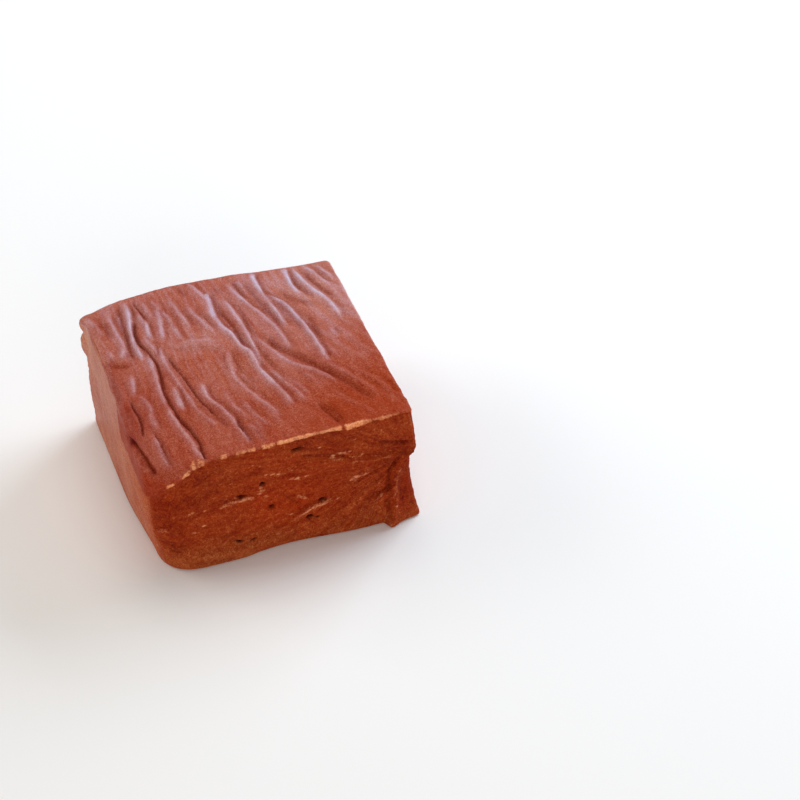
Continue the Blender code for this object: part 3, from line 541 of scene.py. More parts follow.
def draw_lines(lines, on_surface, p, normals, keep, wobble):
    """Adds up the relief of the lines and the shares of their painted highlight and painted shade."""
    relief = np.zeros(len(p))
    light = np.zeros(len(p))
    painted_shade = np.zeros(len(p))
    for kind, size, left, right, colour, *points in lines:
        curve = curve_through([on_surface(*q) for q in points])
        near, side, end = beside(curve, p + wobble, normals, 3.6 * max(left, right) + 0.8)
        fade = smooth(0.0, 1.0 + 1.8 * min(1.0, max(left, right)), end + 0.25) * keep[near]
        thick = 1.0 + 0.30 * noise(p[near] * 0.9 + 5.0, 61)
        patchy = np.clip(0.95 + 0.5 * noise(p[near] * 0.55, 67), 0.35, 1.25)
        if kind == "ridge":
            slope = np.exp(-((np.abs(side) / (1.2 * left * thick)) ** 1.05))
            drop = np.exp(-((side / (0.85 * right * thick)) ** 2))
            trough = bump(side, 0.45 + right, 0.9 * right)
            shape = np.where(side < 0, slope, drop) - 0.35 * trough
            relief[near] += 1.25 * size * shape * fade * (0.75 + 0.25 * patchy)
            # painted highlight: a bright line along the crest, with a soft glow on its left slope
            line = bump(side, 0.0, 0.15 + 0.12 * colour) + 0.30 * bump(side, -0.20, 0.42 + 0.3 * left)
            light[near] = np.maximum(light[near], np.minimum(line, 1.0) * fade * colour * patchy)
            # painted shade in the trough after the ridge
            after = bump(side, 0.42 + 0.75 * right, 0.22 + 0.5 * right)
            painted_shade[near] = np.maximum(painted_shade[near], 0.62 * after * fade * colour)
        else:
            wide = np.where(side < 0, left, right) * thick
            shape = np.exp(-((np.abs(side) / wide) ** 1.6))
            relief[near] -= size * shape * fade * (0.7 + 0.3 * patchy)
            # painted shade along the groove
            line = np.exp(-((np.abs(side) / (0.95 * wide)) ** 2))
            painted_shade[near] = np.maximum(painted_shade[near], line * fade * colour)
    return relief, light, painted_shade


# ================================================================ the fine mesh
def shape_piece():
    uvw, quads, ids, hole = lattice()
    x0, y0, z0 = rounded_block(uvw[:, 0], uvw[:, 1], uvw[:, 2])
    base = np.stack([x0, y0, z0], 1)
    p = np.stack(slump(x0, y0, z0), 1)
    normals = vertex_normals(p, quads)
    nx, ny, nz = normals.T
    on_top = uvw[:, 2] > 1 - 1e-9
    on_front = uvw[:, 1] < -1 + 1e-9

    # where the folded skin lies: the top, its rim, and the sunken left shoulder
    side_noise = 0.5 * fbm(p * 0.45, 3, 3)
    left_skin = 15.6 + 4.0 * smooth(-4.6, -0.4, y0) - 0.6 * smooth(-12.6, -15.0, y0) + side_noise
    front_skin = np.interp(x0, SKIN_EDGE_X, SKIN_EDGE_Z) + 0.5 * side_noise * smooth(-10.0, -14.0, x0)
    ragged = 0.15 + 1.1 * smooth(-12.0, -16.5, x0)
    skin_left = smooth(left_skin - 1.3, left_skin + 0.7, z0 + 0.55 * fbm(p * 0.8, 105, 3))
    skin_front = smooth(front_skin - ragged, front_skin + 0.5 * ragged, z0)
    skin_else = smooth(HEIGHT - 0.5, HEIGHT - 0.1, z0)
    facing_left, facing_front = smooth(0.35, 0.75, -nx), smooth(0.35, 0.75, -ny)
    skin = np.where(
        on_top,
        1.0,
        skin_left * facing_left + (1 - facing_left) * (skin_front * facing_front + skin_else * (1 - facing_front)),
    )
    skin = np.maximum(skin, smooth(0.62, 0.80, nz))
    # the left wall's tan colour: the chocolate with a painted grazing sheen
    tan_sheen = smooth(0.70, 0.97, -nx) * (1 - skin) * smooth(-12.0, -15.0, x0)
    cut = np.clip(1 - skin - tan_sheen, 0, 1)

    # soft unevenness of the whole
    low_edge = smooth(0.0, 1.5, z0)
    relief = 0.10 * fbm(p * 0.16 + 3.1, 21, 3) * low_edge
    relief += 0.045 * fbm(p * 0.55, 23, 3) * low_edge

    # the folded skin
    top_tree = p[on_top]

    def on_top_face(x, y, z=None):
        if z is not None:
            return (x, y, z)
        near = np.argsort((top_tree[:, 0] - x) ** 2 + (top_tree[:, 1] - y) ** 2)[:3]
        return (x, y, top_tree[near, 2].mean())

    wobble = 0.10 * np.stack([noise(p * 0.8, 31), noise(p * 0.8, 32), 0 * nx], 1)
    wobble += 0.045 * np.stack([noise(p * 2.4, 33), noise(p * 2.4, 34), 0 * nx], 1)
    keep = smooth(-0.05, 0.30, nz) * smooth(0.0, 0.45, skin)
    lines, light, painted_shade = draw_lines(TOP_LINES, on_top_face, p, normals, keep, wobble)
    relief += lines
    # faint wrinkles between them, running with the folds, with a faint painted highlight on their crests
    drift = x0 + 0.30 * (y0 + 18) * smooth(-16, 8, x0) + 0.9 * fbm(p * 0.20, 41, 2)
    faint = fbm(np.stack([drift * 0.75, y0 * 0.10, z0 * 0.0], 1), 43, 2, 0.45)
    ridged = 1 - np.abs(faint) * 2
    finer = fbm(np.stack([drift * 1.5, y0 * 0.22, z0 * 0.0], 1), 45, 2, 0.5)
    calm = 1 - 0.8 * smooth(HALF_DEPTH - 2.6, HALF_DEPTH - 0.6, y0)
    relief += keep * calm * (0.075 * np.clip(ridged, -1, 1) + 0.075 * finer + 0.02 * fbm(p * 1.6, 47, 2))
    light = np.maximum(light, keep * 0.18 * smooth(0.50, 1.0, ridged) * smooth(-14.0, 4.0, y0))

    # the torn burr along the front rim: a slight raised edge, its pale colour a painted highlight
    rough = fbm(p * np.array([3.2, 2.0, 2.0]), 51, 3)
    on_shoulder = smooth(-10.6, -12.6, x0)
    from_rim = np.hypot(y0 + HALF_DEPTH, z0 - HEIGHT) * (1 - on_shoulder) + np.abs(z0 - front_skin - 0.1) * on_shoulder
    wide, pale = np.zeros(len(p)), np.zeros(len(p))
    for start, stop, first, last, how_pale in BURRS:
        share = np.clip((x0 - start) / (stop - start), 0, 1)
        ends = smooth(start - 0.28, start + 0.34, x0) * smooth(stop + 0.34, stop - 0.28, x0)
        wide = np.maximum(wide, (first + (last - first) * share) * ends)
        pale = np.maximum(pale, how_pale * ends)
    upper = smooth(HEIGHT - 0.35, HEIGHT - 0.02, z0)
    wide = wide * (0.85 + 0.15 * upper) * (1 + 0.30 * rough + 0.50 * fbm(p * 0.9, 57, 2))
    burr_highlight = smooth(wide + 0.16 + 0.16 * upper, wide - 0.16 - 0.10 * upper, from_rim) * smooth(0.05, 0.24, wide) * np.maximum(facing_front, smooth(0.62, 0.80, nz))
    strokes = noise(np.stack([x0 * 2.1 + 1.5 * z0, y0 * 0.6, z0 * 0.5], 1), 59)
    burr_highlight *= 1 - on_shoulder * smooth(0.15, -0.45, strokes)
    burr_highlight *= pale * (0.98 + 0.25 * rough + 0.20 * fbm(p * 0.9 + 7.0, 58, 2)) * smooth(-HALF_DEPTH + 1.2, -HALF_DEPTH + 0.9, y0)
    relief += 0.05 * burr_highlight * (0.9 + 0.2 * rough)

    # the knife-cut walls: drag marks that run towards the tongue on the front, level elsewhere
    aim_x, aim_z = x0 - 18.5, z0 - 11.8
    turn = np.arctan2(aim_z, -aim_x)
    away = np.hypot(aim_x, aim_z)
    swirl = 0.25 * fbm(p * 0.25, 71, 2)
    coarse = fbm(np.stack([turn * 7.0 + swirl, away * 0.10, 0 * away], 1), 73, 3)
    fine = fbm(np.stack([turn * 34.0 + swirl * 3, away * 0.35, 0 * away], 1), 75, 3)
    slant = z0 + 0.22 * (x0 + y0) + 0.012 * (x0 - y0) ** 2 + 1.2 * fbm(p * 0.14, 78, 2)
    level = fbm(np.stack([slant * 0.8, (x0 - y0) * 0.14, (x0 + y0) * 0.14], 1), 77, 3, 0.55)
    level = 0.6 * level * np.clip(0.6 + 1.4 * fbm(p * 0.13, 80, 2), 0, 1.3) + 0.5 * fbm(p * 0.35, 76, 3)
    torn = fbm(p * np.array([0.9, 0.9, 1.6]), 79, 4, 0.6)
    crumb = fbm(p * np.array([1.6, 1.6, 2.6]), 83, 3, 0.7)
    uneven = fbm(p * 0.11 + 4.0, 85, 2) + 0.5 * fbm(p * 0.42, 86, 2)
    front_cut = cut * facing_front
    smear = smooth(-14.0, -2.0, x0) * (1 - 0.75 * smooth(15.4, 16.6, x0) * smooth(12.5, 11.0, z0))
    relief += front_cut * low_edge * (0.34 * coarse * smear + 0.11 * fine * (0.35 + 0.65 * smear))
    relief += front_cut * low_edge * (0.15 * torn + 0.075 * crumb)
    other_cut = cut * (1 - facing_front)
    calm = 1 - 0.75 * smooth(HEIGHT - 1.8, HEIGHT - 0.4, z0)
    relief += other_cut * low_edge * calm * (0.14 * level + 0.10 * torn + 0.05 * crumb)
    relief += tan_sheen * low_edge * (0.20 * level + 0.10 * torn + 0.03 * crumb)

    front_pts = p[on_front]

    def on_front_face(x, z, above=None):
        if above is not None:
            return (x, z, above)
        near = np.argsort((front_pts[:, 0] - x) ** 2 + (front_pts[:, 2] - z) ** 2)[:3]
        return (x, front_pts[near, 1].mean(), z)

    keep_front = smooth(0.12, 0.50, -ny) * smooth(0.0, 0.4, z0)
    # the front wall's creases: painted highlight on their ridges, painted shade along their grooves
    lines, front_highlight, wall_shade = draw_lines(FRONT_LINES, on_front_face, p, normals, keep_front, wobble)
    relief += lines
    pit = np.zeros(len(p))
    fleck_glint = np.zeros(len(p))
    rag = 1 + 0.32 * noise(p * 3.4, 81) + 0.15 * noise(p * 6.1, 82)
    px, pz = p[:, 0], p[:, 2]
    for cx, cz, half_w, half_h, deep in FRONT_PITS:
        r = np.hypot((px - cx) / half_w, (pz - cz) / half_h) * rag
        hole_in = np.exp(-(r**4)) * facing_front
        relief -= deep * hole_in
        pit = np.maximum(pit, np.exp(-((r * 0.96) ** 5)) * facing_front)
    for cx, cz, half_l, half_w, high, slope in FRONT_FLECKS:
        dx, dz = px - cx, pz - cz
        r = np.hypot((dx + dz * slope) / half_l, (dz - dx * slope) / half_w) * rag
        bit = np.exp(-(r**2)) * facing_front
        relief += high * bit
        fleck_glint = np.maximum(fleck_glint, bit)
    # pits and flecks like those, on the walls that are out of sight: painted shade in the pits, painted glints on the
    # flecks
    rng = np.random.default_rng(SEED)
    for wall, count_pits, count_flecks in (("back", 7, 16), ("right", 6, 14), ("front", 0, 14), ("left", 0, 10)):
        for n in range(count_pits + count_flecks):
            a = rng.uniform(-16.5, 16.5)
            cz = rng.uniform(2.0, 18.0)
            if wall in ("right", "left"):
                along_wall, facing = p[:, 1], smooth(0.35, 0.75, nx if wall == "right" else -nx)
                cz = min(cz, 13.5) if wall == "left" else cz
            else:
                along_wall, facing = px, smooth(0.35, 0.75, ny if wall == "back" else -ny)
            if n < count_pits:
                size = rng.uniform(0.28, 0.5)
                r = np.hypot((along_wall - a) / (size * 1.2), (pz - cz) / (size * 0.8)) * rag
                relief -= 0.5 * np.exp(-(r**4)) * facing
                pit = np.maximum(pit, np.exp(-((r * 1.02) ** 6)) * facing)
            else:
                size = rng.uniform(0.10, 0.22)
                r = np.hypot((along_wall - a) / (size * 2.2), (pz - cz) / size) * rag
                weak = {"front": 0.6, "left": 0.5}.get(wall, 0.8)
                relief += 0.08 * np.exp(-(r**2)) * facing
                fleck_glint = np.maximum(fleck_glint, weak * np.exp(-(r**2)) * facing)

    # long drag lines and short creases, on the same walls, with painted shade along the creases
    for wall in ("back", "right", "left"):
        wall_up = p[:, 2]
        if wall == "back":
            along_wall, facing = px, smooth(0.35, 0.75, ny)
        else:
            along_wall, facing = p[:, 1], smooth(0.35, 0.75, nx if wall == "right" else -nx)
        strong = 0.45 if wall == "left" else 1.0
        for n in range(9):
            a, cz = rng.uniform(-15.0, 15.0), rng.uniform(2.5, 15.5)
            reach, tilt, bend = rng.uniform(1.5, 6.5), rng.uniform(-0.28, 0.12), rng.uniform(-0.012, 0.012)
            t = along_wall - a
            across = wall_up - cz - tilt * t - bend * t**2 + 0.18 * noise(p * 0.7, 107 + n)
            ends = smooth(reach, 0.3 * reach, np.abs(t)) * facing * (1 - skin)
            thin = rng.uniform(0.14, 0.30)
            if n % 3 == 0:
                relief += strong * 0.14 * bump(across, 0.0, thin * 1.6) * ends
            else:
                relief -= strong * 0.18 * bump(across, 0.0, thin) * ends
                wall_shade = np.maximum(wall_shade, strong * 0.5 * bump(across, 0.0, thin) * ends)

    # grain of the crumb, coarse enough to be shape
    relief += low_edge * (0.014 * noise(p * 2.6, 91) + 0.010 * noise(p * 4.7, 92)) * (0.5 + 0.8 * cut)

    moved = p + normals * (relief * smooth(0.0, 0.5, z0))[:, None]
    moved[:, 2] = np.where(z0 < 1e-6, 0.0, np.maximum(moved[:, 2], 0.0))
    # painted sheen of the window light: the skin paler and pinker towards the back, the left wall paler up and back
    sheen_share = 0.22 + 0.50 * smooth(-15.0, 14.0, y0) + 0.35 * smooth(2.0, 16.0, x0) * smooth(0.0, 14.0, y0)
    sheen_share += 0.10 * smooth(-9.0, -17.0, x0) * smooth(-8.0, 0.0, y0)
    sheen_share -= 0.25 * smooth(0.0, 14.0, x0) * smooth(4.0, -12.0, y0) + 0.35 * smooth(HEIGHT - 0.8, HEIGHT - 3.0, z0)
    for cx, cy, half_x, half_y, amount in SHEEN_PATCHES:
        sheen_share = sheen_share + amount * bump(x0, cx, half_x) * bump(y0, cy, half_y)
    sheen_share = sheen_share + 0.22 * fbm(p * 0.17 + 9.0, 95, 3)
    wall_sheen = 0.22 + 0.55 * smooth(-17.0, 8.0, y0) + 0.2 * smooth(2.0, 18.0, z0) + 0.30 * fbm(p * 0.22, 97, 3) + 0.15 * level
    sheen_share = np.where(tan_sheen > 0.5, wall_sheen, sheen_share)
    on_tongue = smooth(15.4, 16.6, x0) * smooth(12.5, 11.0, z0) * facing_front
    patches = np.clip(0.45 + 1.6 * fbm(p * 0.13, 80, 2), 0, 1)
    drag = np.where(facing_front > 0.5, (0.35 + 0.65 * smooth(-13.0, -2.0, x0)) * (1 - 0.7 * on_tongue), 0.7 * patches)
    tone = 0 * nx
    for cx, cy, cz, size, amount in TONES:
        far = ((p - np.array([cx, cy, cz])) ** 2).sum(1)
        tone = tone + amount * np.exp(-far / size**2)
    tone = tone + 0.20 * tan_sheen * uneven + 0.06 * (cut - front_cut) * uneven
    tone = tone + 0.08 * front_cut * smooth(HEIGHT - 2.6, HEIGHT - 0.4, z0)
    masks = {
        "skin": skin,
        "sheen_share": np.clip(sheen_share, 0, 1),
        "tan_sheen": tan_sheen,
        # painted highlight on the crests of the skin
        "crest_highlight": np.clip(light, 0, 1),
        # painted shade in the grooves and in the troughs after the ridges
        "groove": np.clip(np.maximum(painted_shade, 0), 0, 1),
        "burr_highlight": np.clip(burr_highlight, 0, 1),
        "pit": np.clip(pit, 0, 1),
        # painted glints on the flecks, and the painted highlight of the front ridges
        "fleck_glint": np.clip(np.maximum(fleck_glint, front_highlight * 0.8), 0, 1),
        # painted shade along the creases of the walls
        "crease_shade": np.clip(wall_shade, 0, 1),
        # painted bounce light from the floor: the cut walls lighter and warmer towards the base, with random patches
        "warm_bounce": np.clip(cut * (smooth(6.5, 0.5, z0) * (0.35 + 0.65 * smooth(6.0, -6.0, x0)) + 0.30 * fbm(p * 0.25, 99, 2)), 0, 1),
        "tone": tone,
        "red": np.clip(cut * (0.75 * bump(x0, 1.0, 7.0) * bump(z0, 8.5, 5.5) + 0.25 * fbm(p * 0.3, 101, 2)), 0, 1),
        "fold_u": drift,
        "fold_v": y0,
        "drag": drag,
        "drag_u": np.where(facing_front > 0.5, turn * 20.0 + 1.5 * swirl, slant),
        "drag_v": np.where(facing_front > 0.5, away, x0 + y0),
        "streak": np.clip(0.5 + (coarse * 0.50 + fine * 0.50 + crumb * 0.45) * front_cut + 0.6 * level * other_cut, 0, 1),
    }
    return uvw, quads, ids, hole, moved, masks


def make_mesh():
    uvw, quads, ids, hole, p, masks = shape_piece()
    centre = cad_centre()
    where = (p - centre) / 1000.0
    # nothing stands past the CAD solid's box
    low, high = np.array(cad_box[0]), np.array(cad_box[1])
    slack = 0.00003
    where = np.clip(where, low + slack * np.array([1, 1, 0]), high - slack)
    faces = [tuple(q) for q in quads.tolist()] + [tuple(hole)]
    mesh = bpy.data.meshes.new("fudge")
    mesh.from_pydata(where.tolist(), [], faces)
    mesh.update()
    for name, values in masks.items():
        made = mesh.attributes.new(name, "FLOAT", "POINT")
        made.data.foreach_set("value", values.astype(np.float32))
    # a tidy map for the bake: each face of the block has a panel of its own
    panels = (
        (0, 1, 0.006, 0.006, 0.618, 0.586),   # top: u, v
        (0, 2, 0.006, 0.606, 0.618, 0.388),   # front: u, w
        (0, 2, 0.640, 0.006, 0.354, 0.200),   # back
        (1, 2, 0.640, 0.220, 0.354, 0.200),   # left
        (1, 2, 0.640, 0.434, 0.354, 0.200),   # right
        (0, 1, 0.640, 0.650, 0.354, 0.344),   # base
    )
    spot = np.stack([(uvw[:, 0] + 1) / 2, (uvw[:, 1] + 1) / 2, uvw[:, 2]], 1)
    corner = []
    for n, (a, b, x, y, w, h) in enumerate(panels):
        these = quads[ids == n].ravel()
        corner.append(np.stack([x + w * spot[these, a], y + h * spot[these, b]], 1))
    a, b, x, y, w, h = panels[5]
    corner.append(np.stack([x + w * spot[hole, a], y + h * spot[hole, b]], 1))
    layer = mesh.uv_layers.new(name="OFBake")
    layer.uv.foreach_set("vector", np.concatenate(corner).astype(np.float32).ravel())
    mesh.shade_smooth()
    return mesh


# ================================================================ finish
class Nodes:
    """Short hands for a node tree."""

    def __init__(self, tree):
        self.tree = tree

    def add(self, kind, **inputs):
        node = self.tree.nodes.new(kind)
        for name, value in inputs.items():
            self.put(node.inputs[name.replace("_", " ")], value)
        return node

    def put(self, socket, value):
        if isinstance(value, bpy.types.NodeSocket):
            self.tree.links.new(value, socket)
        else:
            socket.default_value = value

    def mask(self, name):
        node = self.tree.nodes.new("ShaderNodeAttribute")
        node.attribute_name = name
        return node.outputs["Fac"]

    def noise(self, vector, scale, detail=3.0, rough=0.55, warp=0.0):
        node = self.add("ShaderNodeTexNoise", Vector=vector, Scale=scale, Detail=detail, Roughness=rough, Distortion=warp)
        return node.outputs["Fac"]

    def span(self, value, a, b, c=0.0, d=1.0):
        node = self.add("ShaderNodeMapRange", Value=value)
        node.inputs["From Min"].default_value, node.inputs["From Max"].default_value = a, b
        node.inputs["To Min"].default_value, node.inputs["To Max"].default_value = c, d
        return node.outputs["Result"]

    def math(self, operation, a, b=0.0):
        node = self.tree.nodes.new("ShaderNodeMath")
        node.operation = operation
        self.put(node.inputs[0], a)
        self.put(node.inputs[1], b)
        return node.outputs[0]

    def mix(self, share, a, b, blend="MIX"):
        node = self.tree.nodes.new("ShaderNodeMix")
        node.data_type, node.blend_type = "RGBA", blend
        self.put(node.inputs[0], share)
        self.put(node.inputs[6], a)
        self.put(node.inputs[7], b)
        return node.outputs[2]


def fudge_material():
    mat = bpy.data.materials.new("fudge_finish")
    mat.use_nodes = True
    tree = mat.node_tree
    shader = tree.nodes["Principled BSDF"]
    n = Nodes(tree)
    place = tree.nodes.new("ShaderNodeTexCoord").outputs["Object"]
    clouds = n.noise(place, 260.0, 3.0, 0.5)
    mottle = n.noise(place, 900.0, 4.0, 0.6)
    grain = n.noise(place, 5200.0, 2.0, 0.6)
    speck = n.noise(place, 2300.0, 2.0, 0.6)
    folds = n.add("ShaderNodeCombineXYZ", X=n.mask("fold_u"), Y=n.math("MULTIPLY", n.mask("fold_v"), 0.16)).outputs[0]
    folds = n.noise(folds, 1.1, 4.0, 0.62)
    drags = n.add("ShaderNodeCombineXYZ", X=n.mask("drag_u"), Y=n.math("MULTIPLY", n.mask("drag_v"), 0.16)).outputs[0]
    drags = n.noise(drags, 1.3, 5.0, 0.68)
    sugar = n.noise(place, 11000.0, 1.0, 0.5)
    skin, tan_sheen, crest_highlight = n.mask("skin"), n.mask("tan_sheen"), n.mask("crest_highlight")
    groove, burr_highlight, pit = n.mask("groove"), n.mask("burr_highlight"), n.mask("pit")
    fleck_glint, crease_shade, streak = n.mask("fleck_glint"), n.mask("crease_shade"), n.mask("streak")
    sheen_share, warm_bounce = n.mask("sheen_share"), n.mask("warm_bounce")

    cut_colour = n.mix(n.span(streak, 0.25, 0.75), COLOUR["cut_dark"], COLOUR["cut_light"])
    cut_colour = n.mix(n.span(mottle, 0.35, 0.70, 0.0, 0.6), cut_colour, COLOUR["cut_warm"])
    # painted bounce light from the floor towards the base
    cut_colour = n.mix(warm_bounce, cut_colour, COLOUR["cut_bounce_lit"])
    cut_colour = n.mix(n.mask("red"), cut_colour, COLOUR["cut_red"])
    torn = n.span(speck, 0.32, 0.68, 0.55, 1.45)
    burr_highlight = n.math("MULTIPLY", burr_highlight, n.span(grain, 0.3, 0.7, 0.84, 1.16))
    burr_highlight = n.span(n.math("MULTIPLY", burr_highlight, n.span(speck, 0.32, 0.68, 0.76, 1.24)), 0.12, 0.92)
    smeared = n.span(drags, 0.35, 0.65, 0.25, 1.45)
    fleck_glint = n.span(n.math("MULTIPLY", n.math("MULTIPLY", fleck_glint, torn), smeared), 0.10, 0.75)
    sheen_mix = n.math("ADD", sheen_share, n.span(mottle, 0.25, 0.75, -0.09, 0.09))
    sheen_mix = n.math("ADD", sheen_mix, n.span(folds, 0.30, 0.70, -0.07, 0.07))
    sheen_mix = n.math("ADD", sheen_mix, n.span(clouds, 0.25, 0.75, -0.10, 0.10))
    # painted sheen: the skin turns paler and pinker where the sheen share is high
    skin_colour = n.mix(n.span(sheen_mix, 0.0, 1.0), COLOUR["skin_red"], COLOUR["skin_sheen_lit"])
    # painted grazing sheen of the left wall
    tan_sheen_colour = n.mix(n.span(sheen_mix, 0.0, 1.0), COLOUR["tan_sheen_low"], COLOUR["tan_sheen_high"])
    highlight_colour = n.mix(sheen_share, COLOUR["highlight_low"], COLOUR["highlight_high"])
    colour = n.mix(skin, cut_colour, skin_colour)
    colour = n.mix(tan_sheen, colour, tan_sheen_colour)
    # painted highlight on the crests, bluer where the painted sheen is
    colour = n.mix(n.math("MULTIPLY", crest_highlight, n.span(sheen_share, 0.0, 0.7, 0.70, 1.0)), colour, highlight_colour)
    # painted shade in the grooves and troughs
    colour = n.mix(n.math("MULTIPLY", groove, 0.86), colour, COLOUR["groove"])
    # painted shade along the creases of the walls
    colour = n.mix(n.math("MULTIPLY", crease_shade, 0.85), colour, COLOUR["crease_shade"])
    # painted highlight along the front rim
    colour = n.mix(n.math("MULTIPLY", burr_highlight, 0.90), colour, COLOUR["burr_highlight"])
    # painted glints of the flecks
    colour = n.mix(n.math("MULTIPLY", fleck_glint, 0.80), colour, COLOUR["fleck_glint"])
    on_wall = n.math("SUBTRACT", 1.0, n.math("MAXIMUM", skin, n.math("MULTIPLY", tan_sheen, 0.5)))
    deep = n.math("ADD", n.span(grain, 0.25, 0.75, 0.29, -0.29), n.span(sugar, 0.25, 0.75, 0.10, -0.10))
    deep = n.math("ADD", deep, n.math("MULTIPLY", n.span(speck, 0.25, 0.75, 0.17, -0.17), n.math("SUBTRACT", 1.0, n.math("MULTIPLY", n.math("ADD", skin, tan_sheen), 0.45))))
    deep = n.math("MULTIPLY", deep, n.math("ADD", 1.0, n.math("MULTIPLY", tan_sheen, 0.15)))
    deep = n.math("ADD", n.math("ADD", deep, 1.0), n.mask("tone"))
    deep = n.math("ADD", deep, n.span(mottle, 0.25, 0.75, 0.05, -0.05))
    deep = n.math("ADD", deep, n.math("MULTIPLY", n.math("MULTIPLY", on_wall, n.mask("drag")), n.span(drags, 0.28, 0.72, 0.17, -0.17)))
    deep = n.math("ADD", deep, n.math("MULTIPLY", skin, n.span(folds, 0.30, 0.70, 0.04, -0.04)))
    colour = n.add("ShaderNodeGamma", Color=colour, Gamma=deep).outputs["Color"]
    # painted shade: the pits are near black
    colour = n.mix(pit, colour, COLOUR["pit"])
    n.put(shader.inputs["Base Color"], colour)

    rough = n.span(mottle, 0.3, 0.7, 0.40, 0.52)
    rough = n.math("ADD", rough, n.math("MULTIPLY", n.math("SUBTRACT", 1.0, skin), 0.10))
    rough = n.math("SUBTRACT", rough, n.math("MULTIPLY", crest_highlight, 0.08))
    rough = n.math("ADD", rough, n.math("MULTIPLY", pit, 0.3))
    n.put(shader.inputs["Roughness"], rough)
    shader.inputs["Metallic"].default_value = 0.0
    shader.inputs["IOR"].default_value = 1.48
    shader.inputs["Specular IOR Level"].default_value = 0.04
    # the skin has a satin film, stronger where the painted sheen is; the torn walls have none
    film = n.math("MULTIPLY", skin, n.span(sheen_share, 0.10, 1.0, 0.05, 0.75))
    film = n.math("ADD", film, n.math("MULTIPLY", tan_sheen, n.span(sheen_share, 0.15, 0.85, 0.02, 0.34)))
    film = n.math("MULTIPLY", film, n.math("SUBTRACT", 1.0, n.math("MAXIMUM", n.math("MAXIMUM", groove, burr_highlight), pit)))
    n.put(shader.inputs["Coat Weight"], film)
    shader.inputs["Coat Roughness"].default_value = 0.38

    height = n.math("ADD", n.math("MULTIPLY", grain, 0.6), n.math("MULTIPLY", sugar, 0.4))
    height = n.math("ADD", height, n.math("MULTIPLY", mottle, 1.2))
    height = n.math("ADD", height, n.math("MULTIPLY", n.math("MULTIPLY", drags, n.math("MULTIPLY", on_wall, n.mask("drag"))), 1.5))
    height = n.math("ADD", height, n.math("MULTIPLY", n.math("MULTIPLY", folds, skin), 0.5))
    relief = n.add("ShaderNodeBump", Height=height)
    relief.inputs["Strength"].default_value = 0.7
    relief.inputs["Distance"].default_value = 0.00009
    n.put(shader.inputs["Normal"], relief.outputs["Normal"])
    return mat


# Linear colours.
COLOUR = {
    "skin_red": (0.350, 0.044, 0.011, 1),
    # the skin's colour under the painted sheen
    "skin_sheen_lit": (0.470, 0.138, 0.094, 1),
    # colours of the painted crest highlight
    "highlight_low": (0.580, 0.235, 0.190, 1),
    "highlight_high": (0.620, 0.500, 0.660, 1),
    # colour of the painted shade in the grooves
    "groove": (0.200, 0.019, 0.005, 1),
    # colour of the painted shade in the wall creases
    "crease_shade": (0.150, 0.010, 0.002, 1),
    "cut_dark": (0.225, 0.0205, 0.0030, 1),
    "cut_light": (0.338, 0.0440, 0.0078, 1),
    "cut_warm": (0.340, 0.047, 0.0090, 1),
    "cut_red": (0.360, 0.0345, 0.0038, 1),
    # the cut colour under the painted bounce light
    "cut_bounce_lit": (0.370, 0.074, 0.018, 1),
    # colours of the painted grazing sheen on the left wall
    "tan_sheen_low": (0.430, 0.074, 0.015, 1),
    "tan_sheen_high": (0.470, 0.150, 0.082, 1),
    # colour of the painted highlight on the rim
    "burr_highlight": (0.960, 0.390, 0.175, 1),
    # colour of the painted glints
    "fleck_glint": (0.740, 0.265, 0.120, 1),
    # near-black painted shade of the pits
    "pit": (0.034, 0.0008, 0.0006, 1),
}

piece = bpy.data.objects.new("fudge", make_mesh())
bpy.context.scene.collection.objects.link(piece)
piece.data.materials.append(fudge_material())
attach(piece, "root")
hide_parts("fudge_block")


# ================================================================ floor, lights, camera
def add_floor():
    mesh = bpy.data.meshes.new("floor")
    mesh.from_pydata([(-2, -2, 0), (2, -2, 0), (2, 2, 0), (-2, 2, 0)], [], [(0, 1, 2, 3)])
    floor = bpy.data.objects.new("floor", mesh)
    bpy.context.scene.collection.objects.link(floor)
    mat = bpy.data.materials.new("floor")
    mat.use_nodes = True
    shader = mat.node_tree.nodes["Principled BSDF"]
    shader.inputs["Base Color"].default_value = (0.96, 0.96, 0.96, 1)
    shader.inputs["Roughness"].default_value = 0.9
    shader.inputs["Specular IOR Level"].default_value = 0.1
    mesh.materials.append(mat)


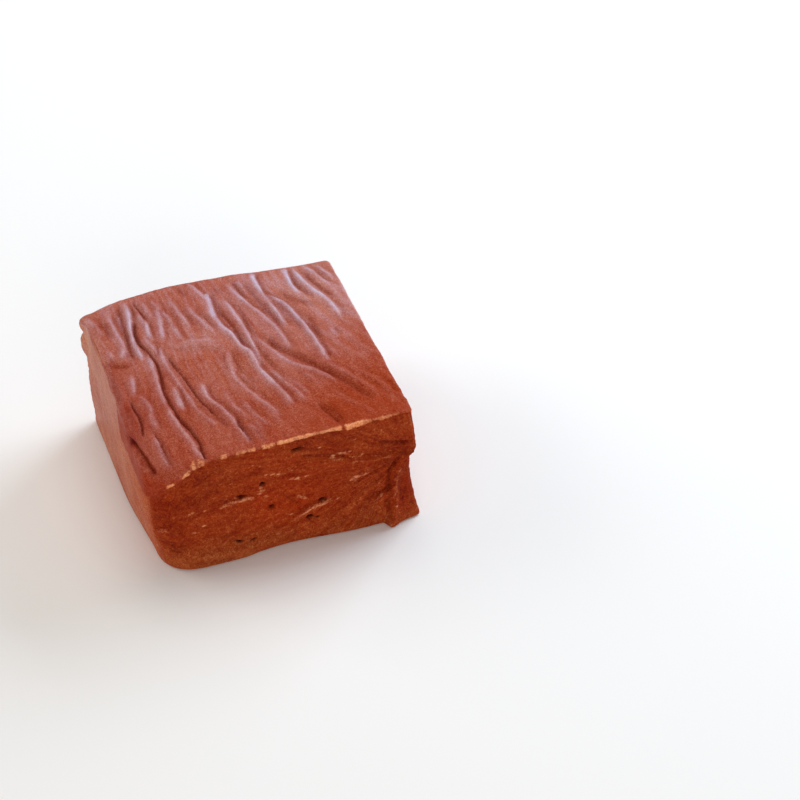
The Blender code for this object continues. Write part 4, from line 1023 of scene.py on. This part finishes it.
def add_area(name, from_direction, distance, size, power, colour):
    light = bpy.data.lights.new(name, "AREA")
    light.shape, light.size, light.size_y = "RECTANGLE", size[0], size[1]
    light.energy, light.color = power, colour
    obj = bpy.data.objects.new(name, light)
    bpy.context.scene.collection.objects.link(obj)
    d = Vector(from_direction).normalized()
    obj.location = d * distance + Vector((0, 0, 0.012))
    obj.rotation_euler = d.to_track_quat("Z", "Y").to_euler()
    return obj


def toward(right_of_view, up):
    """A direction by its angle to the right of the camera's forward direction and its height."""
    a, e = math.radians(VIEW_AZIMUTH + right_of_view), math.radians(up)
    return (math.sin(a) * math.cos(e), math.cos(a) * math.cos(e), math.sin(e))


VIEW_AZIMUTH, VIEW_ELEVATION, VIEW_DISTANCE = 20.41, 41.58, 339.7
VIEW_TARGET = (25.90, 6.04, 0.0)

add_floor()
add_area("window", toward(48, 27), 0.40, (0.30, 0.22), 1.45, (0.76, 0.87, 1.0))
add_area("overhead", toward(10, 72), 0.60, (0.34, 0.34), 0.95, (1.0, 0.94, 0.86))
add_area("fill_left", toward(-80, 24), 0.55, (0.40, 0.30), 1.1, (1.0, 0.94, 0.86))
add_area("fill_front", toward(170, 18), 0.60, (0.40, 0.30), 1.1, (1.0, 0.88, 0.74))

world = bpy.data.worlds.new("studio")
bpy.context.scene.world = world
world.use_nodes = True
world.node_tree.nodes["Background"].inputs["Color"].default_value = (1.0, 1.0, 1.0, 1.0)
world.node_tree.nodes["Background"].inputs["Strength"].default_value = 0.27

camera = bpy.data.objects.new("camera", bpy.data.cameras.new("camera"))
bpy.context.scene.collection.objects.link(camera)
camera.data.lens, camera.data.sensor_width = 100.0, 36.0
camera.data.clip_start, camera.data.clip_end = 0.01, 20.0
a, e = math.radians(-VIEW_AZIMUTH), math.radians(VIEW_ELEVATION)
back = Vector((math.sin(a) * math.cos(e), -math.cos(a) * math.cos(e), math.sin(e)))
right = Vector((0, 0, 1)).cross(back).normalized()
up = back.cross(right)
target = (Vector(VIEW_TARGET) - Vector(cad_centre().tolist())) / 1000.0
camera.matrix_world = Matrix.Translation(target + back * VIEW_DISTANCE / 1000.0) @ Matrix(
    (right, up, back)
).transposed().to_4x4()
bpy.context.scene.camera = camera
bpy.context.scene.view_settings.view_transform = "Standard"
bpy.context.scene.view_settings.look = "None"
